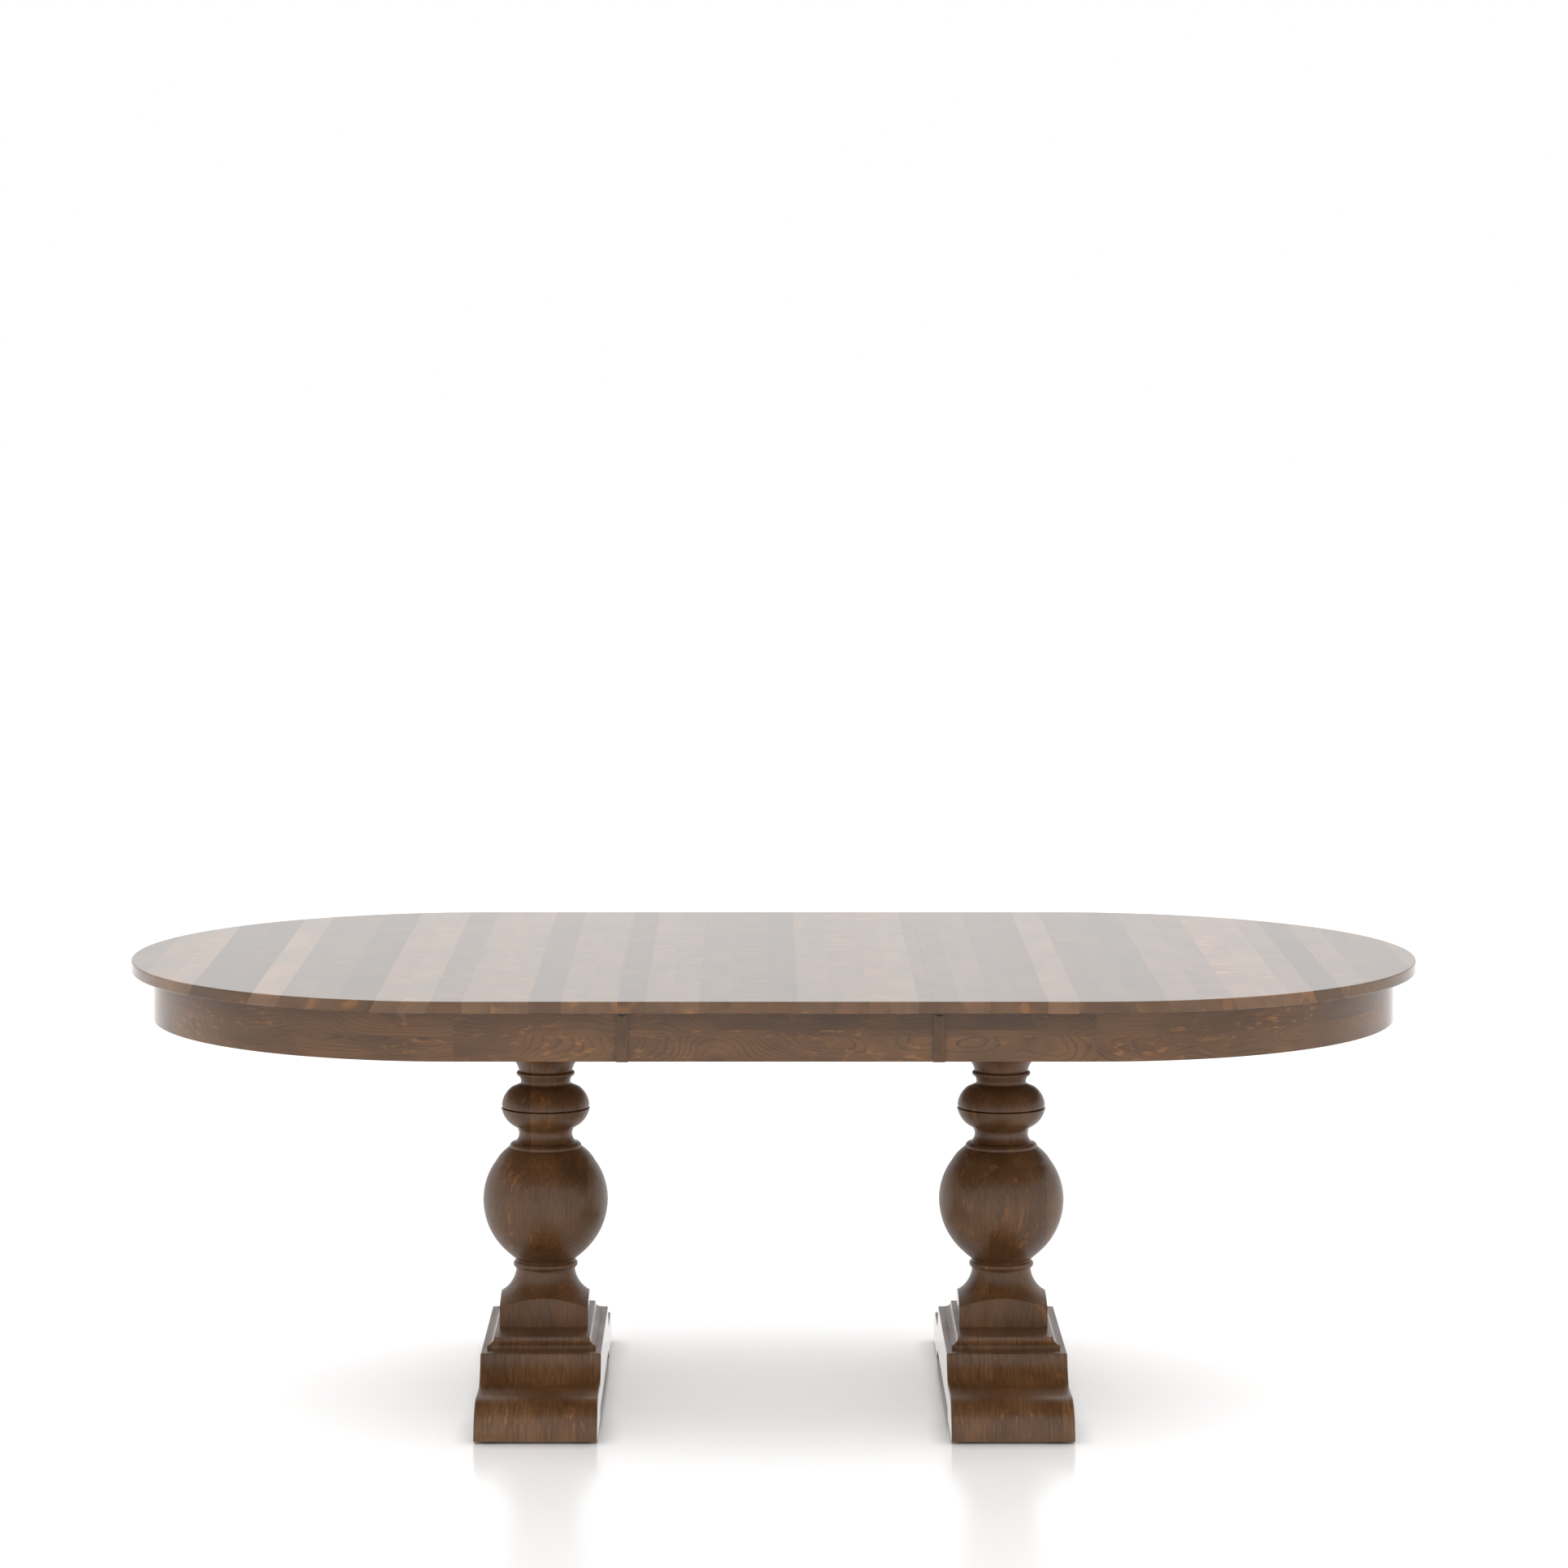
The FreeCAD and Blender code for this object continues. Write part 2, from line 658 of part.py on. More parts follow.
def make_racks(side, turn):
    """Toothed racks let into a half's own rails. A gap between teeth lies over the pinion."""
    body = new_body(f"{side}_racks", turn)
    slope = math.tan(pressure_angle)
    for name, line in own_rail_lines():
        root = line - pitch_radius - tooth_drop
        board(body, f"{name.title()}Bar", rack_start_x, rack_stop_x,
              line - rack_depth, root, rack_low, rack_high)
        tip = line - pitch_radius + tooth_rise
        middle = -(tooth_pitch * (rack_teeth_outward - 0.5))
        half = (tooth_pitch / 2 - size.gear_backlash) / 2
        tip_half = half - tooth_rise * slope
        root_half = half + tooth_drop * slope
        inside = root - size.rack_back / 2
        tooth = pad(body, f"{name.title()}Tooth", "XY", path(
            (middle - root_half, inside), (middle + root_half, inside), (middle + root_half, root),
            (middle + tip_half, tip), (middle - tip_half, tip), (middle - root_half, root),
        ), rack_low, rack_high)
        teeth = body.newObject("PartDesign::LinearPattern", f"{name.title()}Teeth")
        teeth.Originals = [tooth]
        teeth.Direction = (tooth.Profile[0], ["H_Axis"])
        copies = rack_teeth_outward + rack_teeth_inward
        teeth.setExpression("Length", (tooth_pitch * (copies - 1)).text)
        teeth.Occurrences = copies
        body.Tip = teeth


def tie_screw_places(line):
    return [(step, line) for step in (-size.tie_width / 3, size.tie_width / 3)]


def make_middle_rail(name, turn):
    """The rail between the two halves' rails, with a tongue on each side and a window."""
    line = -slide_y
    body = new_body(f"{name}_middle_rail", turn)
    face = size.rail_width / 2
    tip = face + size.tongue_depth
    neck = size.tongue_neck / 2
    wide = neck + size.tongue_flare
    level = rail_low + size.tongue_level
    section = [
        (line - face, middle_low), (line + face, middle_low),
        (line + face, level - neck), (line + tip, level - wide),
        (line + tip, level + wide), (line + face, level + neck),
        (line + face, middle_high), (line - face, middle_high),
        (line - face, level + neck), (line - tip, level + wide),
        (line - tip, level - wide), (line - face, level - neck),
    ]
    pad(body, "Rail", "YZ", path(*section), -rail_end, rail_end)
    reach = pitch_radius + tooth_rise + size.window_margin
    window = rectangle(-reach, reach, gear_low - size.rail_gap, gear_high + size.rail_gap)
    pocket(body, "PinionWindow", "XZ", path(*window), line - face, line + face)
    drill(body, "AxleHole", [(zero, line)], size.axle_radius,
          gear_low - size.rack_level / 2, middle_high)
    drill(body, "TieScrewHoles", tie_screw_places(line), size.screw_radius,
          middle_low, middle_low + size.screw_bite + size.fastener_fit)


def make_tie():
    body = new_body("middle_rail_tie")
    low = middle_low - size.tie_thickness
    reach = slide_y + size.rail_width / 2
    board(body, "Board", -size.tie_width / 2, size.tie_width / 2, -reach, reach, low, middle_low)
    places = tie_screw_places(-slide_y) + tie_screw_places(slide_y)
    drill(body, "HeadHoles", places, size.screw_head, low,
          low + size.screw_head_height + size.fastener_fit)
    drill(body, "ScrewHoles", places, size.screw_radius, low, middle_low)

    screws = new_body("tie_screws")
    screw_group(screws, "Screws", places, low, middle_low + size.screw_bite)


def make_axles():
    body = new_body("pinion_axles")
    places = [(zero, -slide_y), (zero, slide_y)]
    pad(body, "Pins", "XY", circles(places, size.axle_radius),
        gear_low - size.rack_level / 2, middle_high)


def make_pinion(name, line):
    """A small gear between the two halves' racks, with involute teeth."""
    body = new_body(f"{name}_pinion")
    root = pitch_radius - tooth_drop
    pad(body, "Core", "XY", circles([(zero, zero)], root), gear_low, gear_high)

    pitch_half = (math.pi / 2 - size.gear_backlash.value / size.gear_module.value) / pinion_teeth
    base_share = math.cos(pressure_angle)
    tip_share = (pitch_radius + tooth_rise).value / pitch_radius.value

    def half_angle(share):
        """Half the tooth's angle at a radius given as a share of the pitch radius."""
        angle = math.acos(base_share / share)
        roll = math.tan(pressure_angle) - pressure_angle - (math.tan(angle) - angle)
        return pitch_half + roll

    def flank(share, sign, turned=None):
        angle = sign * (half_angle(share) if turned is None else turned)
        return (pitch_radius * (share * math.cos(angle)), pitch_radius * (share * math.sin(angle)))

    base_angle = half_angle(base_share)
    inside_share = 0.5 * (1 + root.value / pitch_radius.value) * root.value / pitch_radius.value
    upper = [flank(base_share, 1), ("by", *flank(1, 1)), flank(tip_share, 1)]
    lower = [flank(tip_share, -1), ("by", *flank(1, -1)), flank(base_share, -1)]
    inner = [flank(inside_share, -1, base_angle), flank(inside_share, 1, base_angle)]
    crown = [("by", pitch_radius + tooth_rise, zero)]
    tooth = pad(body, "Tooth", "XY", path(*inner[1:], *upper, *crown, *lower, *inner[:1]),
                gear_low, gear_high)
    teeth = body.newObject("PartDesign::PolarPattern", "Teeth")
    teeth.Originals = [tooth]
    teeth.Axis = (tooth.Profile[0], ["N_Axis"])
    teeth.Angle = 360
    teeth.Occurrences = pinion_teeth
    body.Tip = teeth
    pocket(body, "Bore", "XY", circles([(zero, zero)], size.axle_radius + size.running_fit),
           gear_low, gear_high)
    body.setExpression("Placement.Base.y", line.text)


# The pedestals

def column_bolt_places():
    steps = (-size.bolt_offset, size.bolt_offset)
    return [(step_x - pedestal_x, step_y) for step_x in steps for step_y in steps]


def make_bolster(side, turn):
    body = new_body(f"{side}_bolster", turn)
    x_low = -pedestal_x - size.bolster_width / 2
    x_high = x_low + size.bolster_width
    end = size.bolster_length / 2
    profile = [
        (-end + size.bolster_bevel, bolster_low), (end - size.bolster_bevel, bolster_low),
        (end, bolster_low + size.bolster_bevel), (end, rail_low),
        (-end, rail_low), (-end, bolster_low + size.bolster_bevel),
    ]
    pad(body, "Board", "YZ", path(*profile), x_low, x_high)
    channels = []
    for _name, line in own_rail_lines():
        channels.append(rectangle(x_low, x_high, line - rail_near + size.rail_gap / 2,
                                  line + rail_far + size.bolster_relief))
    pocket(body, "RailChannels", "XY", paths(channels), rail_low - size.bolster_relief, rail_low)
    drill(body, "HeadHoles", bolster_screw_places(), size.screw_head, bolster_low,
          bolster_low + size.screw_head_height + size.fastener_fit)
    drill(body, "ScrewHoles", bolster_screw_places(), size.screw_radius, bolster_low, rail_low)
    drill(body, "BoltHeadHoles", column_bolt_places(), size.bolt_head,
          rail_low - size.bolt_head_height - size.fastener_fit, rail_low)
    drill(body, "BoltHoles", column_bolt_places(), size.bolt_radius, bolster_low, rail_low)

    screws = new_body(f"{side}_bolster_screws", turn)
    screw_group(screws, "Screws", bolster_screw_places(), bolster_low,
                rail_low + size.counterbore - size.fastener_fit)

    bolts = new_body(f"{side}_head_bolts", turn)
    neck = rail_low - size.bolt_head_height
    pad(bolts, "Heads", "XY", circles(column_bolt_places(), size.bolt_head), neck, rail_low)
    pad(bolts, "Shanks", "XY", circles(column_bolt_places(), size.bolt_radius),
        bolster_low - size.bolt_bite, neck)


def make_column(side, turn):
    """Turned on a lathe between two square blocks, cut square after turning."""
    body = new_body(f"{side}_column", turn)
    sketch = sketch_on(body, "ProfileSketch", "XZ", zero)
    points = [(zero, plinth_high)]
    for kind, across, up in column_profile_shares:
        point = (size.ball_radius * across, plinth_high + column_height * up)
        points.append(point if kind == "to" else ("by", *point))
    points.append((zero, bolster_low))
    draw_path(sketch, points)
    turned = body.newObject("PartDesign::Revolution", "Turning")
    turned.Profile = sketch
    turned.ReferenceAxis = (sketch, ["V_Axis"])
    turned.Angle = 360

    half = size.column_square / 2
    reach = size.ball_radius * square_cut_share

    def outside_square(sketch):
        draw_path(sketch, rectangle(-reach, reach, -reach, reach))
        draw_path(sketch, rectangle(-half, half, -half, half))

    pocket(body, "FootSquare", "XY", outside_square, plinth_high,
           plinth_high + column_height * block_end_share)
    pocket(body, "HeadSquare", "XY", outside_square,
           plinth_high + column_height * head_start_share, bolster_low)
    places = [(x + pedestal_x, y) for x, y in column_bolt_places()]
    drill(body, "FootBoltHoles", places, size.bolt_radius,
          plinth_high, plinth_high + size.bolt_bite + size.fastener_fit)
    drill(body, "HeadBoltHoles", places, size.bolt_radius,
          bolster_low - size.bolt_bite - size.fastener_fit, bolster_low)
    side_x = -pedestal_x if turn == 0 else pedestal_x
    body.setExpression("Placement.Base.x", side_x.text)


def make_plinth(side, turn):
    body = new_body(f"{side}_plinth", turn)
    x_half = size.plinth_width / 2
    y_half = size.plinth_depth / 2
    board(body, "Board", -pedestal_x - x_half, -pedestal_x + x_half, -y_half, y_half,
          foot_high, plinth_high)
    step = foot_high + size.plinth_step
    margin = size.plinth_cove

    def cove(middle, half, sign):
        """The waste beyond the cove on one side of the board, seen from its end."""
        edge = half * sign + middle
        drawn_in = edge - size.plinth_cove * sign
        bend = edge - size.plinth_cove * (sign * math.sin(math.pi / 4))
        rise = step + (plinth_high - step) * (1 - math.cos(math.pi / 4))
        over = edge + margin * sign
        return [(over, step), (edge, step), ("by", bend, rise),
                (drawn_in, plinth_high), (drawn_in, plinth_high + margin),
                (over, plinth_high + margin)]

    pocket(body, "FrontBackCoves", "YZ", paths([cove(zero, y_half, 1), cove(zero, y_half, -1)]),
           -pedestal_x - size.plinth_width, -pedestal_x + size.plinth_width)
    pocket(body, "SideCoves", "XZ",
           paths([cove(-pedestal_x, x_half, 1), cove(-pedestal_x, x_half, -1)]),
           -size.plinth_depth, size.plinth_depth)
    drill(body, "BoltHoles", column_bolt_places(), size.bolt_radius, foot_high, plinth_high)


def toe(sign):
    """Points of one toe, from the flat down to the floor side."""
    flat = size.foot_flat / 2
    length = (size.foot_depth - size.foot_flat) / 2
    points = [(flat * sign, foot_high)]
    for kind, out, up in toe_profile_shares:
        point = ((flat + length * out) * sign, foot_low + size.foot_height * up)
        points.append(point if kind == "to" else ("by", *point))
    return points


def make_foot(side, turn):
    body = new_body(f"{side}_foot", turn)
    x_low = -pedestal_x - size.foot_width / 2
    x_high = x_low + size.foot_width
    arch = size.arch_depth / 2
    slant = size.arch_height
    relief = [
        (-arch, foot_low), (slant - arch, foot_low + size.arch_height),
        (arch - slant, foot_low + size.arch_height), (arch, foot_low),
    ]
    outline = toe(-1) + relief + list(reversed(toe(1)))
    pad(body, "Foot", "YZ", path(*outline), x_low, x_high)

    recess = foot_low + size.arch_height
    drill(body, "BoltHeadHoles", column_bolt_places(), size.bolt_head, recess,
          recess + size.bolt_head_height + size.fastener_fit)
    drill(body, "BoltHoles", column_bolt_places(), size.bolt_radius, recess, foot_high)
    drill(body, "GlideHoles", glide_places(), size.glide_spigot, foot_low,
          foot_low + size.spigot_length + size.fastener_fit)

    def arris(box):
        at_side = at(box.XMin, box.XMax, x_low) or at(box.XMin, box.XMax, x_high)
        at_top = at(box.ZMin, box.ZMax, foot_high)
        crossing = box.XLength > (size.foot_width / 2).value and at_top
        along = at_side and box.ZMax > (foot_low + size.arch_height).value + near
        return along or crossing

    round_edges(body, "Arris", size.foot_round, arris)

    bolts = new_body(f"{side}_foot_bolts", turn)
    neck = recess + size.bolt_head_height
    pad(bolts, "Heads", "XY", circles(column_bolt_places(), size.bolt_head), recess, neck)
    pad(bolts, "Shanks", "XY", circles(column_bolt_places(), size.bolt_radius),
        neck, plinth_high + size.bolt_bite)

    glides = new_body(f"{side}_foot_glides", turn)
    pad(glides, "Discs", "XY", circles(glide_places(), size.glide_radius), zero, foot_low)
    pad(glides, "Spigots", "XY", circles(glide_places(), size.glide_spigot),
        foot_low, foot_low + size.spigot_length)


def glide_places():
    x_step = size.foot_width / 2 - size.glide_margin
    y_step = size.foot_depth / 2 - size.glide_margin
    return [(x - pedestal_x, y) for x in (-x_step, x_step) for y in (-y_step, y_step)]


# The locks that draw the leaf and the halves together

def make_lock_plates(side, turn):
    """Plates under a half's top, each with the pin that its lever turns on."""
    body = new_body(f"{side}_lock_plates", turn)
    x = -seam - size.lock_pivot
    centres = [(x, -lock_y), (x, lock_y)]
    outlines = [rectangle(cx - size.plate_length / 2, cx + size.plate_length / 2,
                          cy - size.plate_width / 2, cy + size.plate_width / 2)
                for cx, cy in centres]
    pad(body, "Plates", "XY", paths(outlines), underside - size.plate_thickness, underside)
    pad(body, "Pins", "XY", circles(centres, size.axle_radius),
        lever_low - size.rail_gap, underside - size.plate_thickness)
    pad(body, "PinHeads", "XY", circles(centres, size.lever_width / 2),
        lever_low - size.rail_gap - size.plate_thickness / 2, lever_low - size.rail_gap)


def make_lever(side, turn, name):
    """A lever drawn hooked on the stud, then swung back to where it is parked."""
    body = new_body(f"{side}_{seen_from_front(name, turn)}_lever")
    mirror = 1 if name == "front" else -1
    half = size.lever_width / 2
    slot_half = size.stud_radius + size.hook_play
    hook = slot_half + size.hook_wall
    x = lock_reach
    pad(body, "Arm", "XY", path(*rectangle(-size.lever_handle + half, x, -half, half)),
        lever_low, lever_high)
    pad(body, "Hook", "XY", circles([(x, zero)], hook), lever_low, lever_high)
    pad(body, "Boss", "XY", circles([(zero, zero)], size.axle_radius + size.hook_wall),
        lever_low, lever_high)
    pad(body, "FingerTab", "XY", circles([(half - size.lever_handle, zero)], half),
        lever_low - size.plate_thickness, lever_high)
    inner = x - slot_half
    outer = x + slot_half
    opening = hook_mouth_share * hook.value / x.value
    half_opening = opening / 2
    mouth = [
        (inner, zero),
        ("by", inner * math.cos(half_opening), -(inner * (mirror * math.sin(half_opening)))),
        (inner * math.cos(opening), -(inner * (mirror * math.sin(opening)))),
        (outer * math.cos(opening), -(outer * (mirror * math.sin(opening)))),
        ("by", outer * math.cos(half_opening), -(outer * (mirror * math.sin(half_opening)))),
        (outer, zero),
        ("by", x, slot_half * mirror),
    ]
    pocket(body, "Slot", "XY", path(*mouth), lever_low, lever_high)
    pocket(body, "PivotHole", "XY", circles([(zero, zero)], size.axle_radius + size.running_fit),
           lever_low, lever_high)
    sign = -1 if turn else 1
    pivot_x = -((seam + size.lock_pivot) * sign)
    pivot_y = -(lock_y * (sign * mirror))
    angle = 90 * mirror + turn
    spin = FreeCAD.Rotation(FreeCAD.Vector(0, 0, 1), angle)
    body.Placement = FreeCAD.Placement(FreeCAD.Vector(0, 0, 0), spin)
    body.setExpression("Placement.Base.x", pivot_x.text)
    body.setExpression("Placement.Base.y", pivot_y.text)


# The leaf and what is fixed under it

def make_leaf():
    edge = seam - size.seam_gap
    body = new_body("leaf_top")
    board(body, "Panel", -edge, edge, -half_width, half_width, underside, size.table_height)

    def outer_edge(box):
        level = at(box.ZMin, box.ZMax, underside) or at(box.ZMin, box.ZMax, size.table_height)
        return level and box.XLength > edge.value

    round_edges(body, "Arris", size.edge_round, outer_edge)

    for name, y_low, y_high in (("front", -apron_face, -apron_back),
                                ("back", apron_back, apron_face)):
        body = new_body(f"leaf_{name}_apron")
        board(body, "Board", -edge, edge, y_low, y_high, apron_low, underside)
        outside = y_low if name == "front" else y_high

        def lower_edge(box, outside=outside):
            return at(box.ZMin, box.ZMax, apron_low) and at(box.YMin, box.YMax, outside)

        round_edges(body, "Arris", size.apron_round, lower_edge)

    strips = new_body("leaf_strips")
    make_strip(strips, "FrontStrip", -edge, True)
    make_strip(strips, "BackStrip", edge - size.strip_width, False)

    blocks = new_body("leaf_blocks")
    outlines = []
    for x in (-edge + size.block_length, edge - size.block_length * 2):
        for y_low in (-apron_back, apron_back - size.block_width):
            outlines.append(rectangle(x, x + size.block_length, y_low, y_low + size.block_width))
    pad(blocks, "Blocks", "XY", paths(outlines), underside - size.block_width, underside)

    keepers = new_body("leaf_lock_studs")
    stud_x = seam - size.lock_stud
    plates = []
    studs = []
    for x in (-stud_x, stud_x):
        for y in (-lock_y, lock_y):
            studs.append((x, y))
            plates.append(rectangle(x - size.plate_width / 2, x + size.plate_width / 2,
                                    y - size.plate_width / 2, y + size.plate_width / 2))
    pad(keepers, "Plates", "XY", paths(plates), underside - size.plate_thickness, underside)
    pad(keepers, "Studs", "XY", circles(studs, size.stud_radius),
        lever_low, underside - size.plate_thickness)


def make_half(side, turn):
    top_screws = rail_screw_places() + batten_places()
    make_half_top(side, turn, top_screws)
    make_aprons(side, turn)
    strip = new_body(f"{side}_strip", turn)
    make_strip(strip, "Strip", -seam - size.strip_width, False)
    make_blocks(side, turn)
    make_batten(side, turn)
    make_own_rails(side, turn)
    make_racks(side, turn)
    screws = new_body(f"{side}_top_screws", turn)
    tip = underside + size.screw_bite
    screw_group(screws, "RailScrews", rail_screw_places(),
                rail_low + size.counterbore - size.screw_head_height, tip)
    screw_group(screws, "BattenScrews", batten_places(), underside - size.batten_thickness, tip)
    make_bolster(side, turn)
    make_column(side, turn)
    make_plinth(side, turn)
    make_foot(side, turn)
    make_lock_plates(side, turn)
    make_lever(side, turn, "front")
    make_lever(side, turn, "back")


def check_and_export():
    """Stops on a failed feature, a cut that cut nothing or a bad solid, then writes the files."""
    for item in doc.Objects:
        if "Invalid" in item.State or "Error" in item.State:
            raise RuntimeError(f"{item.Label} failed: {item.State} {item.getStatusString()}")
    for body in pieces:
        for feature in body.Group:
            if feature.TypeId != "PartDesign::Pocket":
                continue
            before = feature.BaseFeature.Shape.Volume
            if feature.Shape.Volume > before * (1 - same_place_share ** 2):
                raise RuntimeError(f"{body.Label}: {feature.Label} cuts nothing")
        if body.Shape.isNull() or not body.Shape.isValid():
            raise RuntimeError(f"{body.Label} has no valid shape")
    os.makedirs("parts", exist_ok=True)
    for body in pieces:
        body.Shape.exportStep(os.path.join("parts", f"{body.Label}.step"))
        print(body.Label, len(body.Shape.Solids), "solids", round(body.Shape.Volume), "mm3")


for half_side, half_turn in (("left", 0), ("right", 180)):
    make_half(half_side, half_turn)
for rail_name, rail_turn in (("front", 0), ("back", 180)):
    make_middle_rail(rail_name, rail_turn)
make_tie()
make_axles()
make_pinion("front", -slide_y)
make_pinion("back", slide_y)
make_leaf()
doc.recompute()
check_and_export()
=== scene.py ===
import json
import math

import bmesh
import bpy
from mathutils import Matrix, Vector


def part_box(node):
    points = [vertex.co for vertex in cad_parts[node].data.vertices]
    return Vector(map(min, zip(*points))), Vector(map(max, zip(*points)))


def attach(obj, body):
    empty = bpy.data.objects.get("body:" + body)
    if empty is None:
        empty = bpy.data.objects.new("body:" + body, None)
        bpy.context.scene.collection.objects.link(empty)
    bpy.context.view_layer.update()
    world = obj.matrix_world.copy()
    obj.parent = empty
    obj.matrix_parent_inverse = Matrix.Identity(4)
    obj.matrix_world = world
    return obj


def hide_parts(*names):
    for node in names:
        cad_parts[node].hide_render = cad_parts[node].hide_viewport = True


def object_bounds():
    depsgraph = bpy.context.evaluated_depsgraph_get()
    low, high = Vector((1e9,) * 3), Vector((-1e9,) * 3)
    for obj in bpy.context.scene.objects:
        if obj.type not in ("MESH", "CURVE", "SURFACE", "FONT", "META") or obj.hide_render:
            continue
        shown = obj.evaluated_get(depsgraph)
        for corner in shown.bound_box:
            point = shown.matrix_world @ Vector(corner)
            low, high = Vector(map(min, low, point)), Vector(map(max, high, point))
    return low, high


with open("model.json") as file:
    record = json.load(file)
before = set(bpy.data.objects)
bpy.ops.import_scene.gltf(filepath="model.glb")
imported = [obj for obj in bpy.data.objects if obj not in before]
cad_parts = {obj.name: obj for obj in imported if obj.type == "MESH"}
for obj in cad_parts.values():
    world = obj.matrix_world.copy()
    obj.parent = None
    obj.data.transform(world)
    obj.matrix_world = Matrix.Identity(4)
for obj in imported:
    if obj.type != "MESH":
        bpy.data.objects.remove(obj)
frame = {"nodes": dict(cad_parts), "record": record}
cadLow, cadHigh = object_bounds()
cadNodes = frame["nodes"]
bodyOf = {node: body for body, nodes in frame["record"]["behaviour"]["bodies"].items() for node in nodes}
print("frame loaded:", len(cadNodes), "nodes")


# Node tree helpers, for materials and for geometry alike

def addNode(tree, kind, inputs=None, **settings):
    node = tree.nodes.new(kind)
    for name, value in settings.items():
        setattr(node, name, value)
    for name, value in (inputs or {}).items():
        feed(tree, node.inputs[name], value)
    return node


def feed(tree, socket, value):
    if isinstance(value, bpy.types.NodeSocket):
        tree.links.new(value, socket)
    else:
        socket.default_value = value


def calc(tree, operation, *values):
    node = tree.nodes.new("ShaderNodeMath")
    node.operation = operation
    for socket, value in zip(node.inputs, values):
        feed(tree, socket, value)
    return node.outputs[0]


def vectorOf(tree, x, y, z):
    return addNode(tree, "ShaderNodeCombineXYZ", {"X": x, "Y": y, "Z": z}).outputs[0]


def partsOf(tree, vector):
    return addNode(tree, "ShaderNodeSeparateXYZ", {0: vector}).outputs


def blendColours(tree, share, first, second):
    node = addNode(tree, "ShaderNodeMix", data_type="RGBA")
    for socket, value in ((node.inputs[0], share), (node.inputs[6], first), (node.inputs[7], second)):
        feed(tree, socket, value)
    return node.outputs[2]


def noise(tree, vector, detail=2.0, scale=1.0):
    inputs = {"Vector": vector, "Scale": scale, "Detail": detail, "Roughness": 0.55}
    return addNode(tree, "ShaderNodeTexNoise", inputs).outputs["Fac"]


def ramp(tree, value, low, high):   # smooth step from 0 at low to 1 at high
    inputs = {"Value": value, "From Min": low, "From Max": high, "To Min": 0.0, "To Max": 1.0}
    return addNode(tree, "ShaderNodeMapRange", inputs, interpolation_type="SMOOTHSTEP").outputs[0]


def newMaterial(name):
    material = bpy.data.materials.new(name)
    material.use_nodes = True
    tree = material.node_tree
    tree.nodes.clear()
    return material, tree


def objectAxes(tree):
    return partsOf(tree, addNode(tree, "ShaderNodeTexCoord").outputs["Object"])


# Stained and lacquered wood

stain = {
    "dark": (0.044, 0.020, 0.009, 1.0),
    "mid": (0.132, 0.059, 0.022, 1.0),
    "light": (0.182, 0.086, 0.033, 1.0),
    "fleck": (0.330, 0.141, 0.042, 1.0),
}
paleTimber = {
    "dark": (0.330, 0.200, 0.105, 1.0),
    "mid": (0.470, 0.315, 0.180, 1.0),
    "light": (0.560, 0.400, 0.245, 1.0),
    "fleck": (0.600, 0.450, 0.290, 1.0),
}
grainPatterns = {   # rate across and along the grain per metre, detail, own place in the noise
    "waver": (26.0, 9.0, 3.0, 0.0),
    "patches": (14.0, 3.5, 2.0, 3.0),
    "heart": (3.0, None, 2.0, 5.0),           # None: the wood's own look gives this rate
    "broad": (18.0, 4.0, 3.0, 7.0),
    "inwardWaver": (30.0, 14.0, 3.0, 11.0),
    "fleck": (None, None, 4.0, 13.0),
    "fleckArea": (11.0, 5.0, 1.0, 17.0),
    "fibres": (None, 22.0, 2.0, 19.0),
    "figure": (14.0, 38.0, 2.0, 23.0),
    "blotches": (9.0, 7.0, 2.0, 29.0),
}
patchLimits = {   # noise values at which a pattern's smooth step starts and ends
    "patches": (0.35, 0.65),
    "broad": (0.32, 0.68),
    "fleckArea": (0.47, 0.62),
    "figure": (0.58, 0.66),
    "blotches": (0.44, 0.56),
}
timberLook = {
    "stave": 0.060,          # mean width of one glued stave
    "unevenness": 0.7,       # how much the stave widths differ
    "staveShift": 37.0,      # the next stave's grain comes from this far off in the noise, at most
    "boardShift": 9.0,       # and the next board's
    "staveTone": 0.35,       # lightness between staves, in powers of two each way
    "staveHue": 0.4,         # from greyish to orange between staves
    "blotch": 0.10,          # darker and lighter lengths within a stave
    "figure": 0.0,           # pale flecks across the grain
    "ringGap": 0.0065,       # one year's growth
    "heartSpread": 1.4,      # how widely the hearts of the rings lie, in stave widths
    "swell": 0.120,          # how far the growth rings wander towards and away from the face
    "swellRate": 3.2,        # how often they do so along the grain
    "waver": 0.010,          # wave in each ring
    "ringStrength": 0.80,
    "ringSharpness": 4.0,
    "faintestRing": 0.2,     # share of its strength that the faintest year keeps
    "faintestPatch": 0.4,    # and the faintest stretch of a ring
    "ringRelief": 0.6,       # depth of a ring beside that of the fibres
    "fibreRate": 900.0,      # fine fibres per metre across the grain, about
    "fibreStrength": 0.30,
    "fibreSheen": 0.04,      # how much the roughness differs between fibres
    "fleckStrength": 0.60,
    "fleckStart": 0.56,      # lower gives more flecks
    "fleckSoftness": 0.12,
    "fleckRate": 75.0,       # flecks per metre across the grain, about
    "fleckLength": 3.0,      # times as long as wide
    "edgeCalm": 0.0,         # how much quieter the pattern is on upright edges, which lack the painted stave sheen of level faces
    "veil": 0.0,             # greyish lightness between staves: a painted sheen, for reflection that differs from stave to stave
    "huePull": (0.14, -0.04, -0.22),   # what a full step of hue adds to red, green and blue
    "tone": 1.0,
    "roughness": 0.28,       # seen square on
    "unevenSheen": 0.05,     # how much the roughness differs between staves
    "grazingRoughness": 0.04,
    "grazingStart": 0.70,    # lacquer looks smoother from here to fully edge on
    "bump": 0.00001,
}


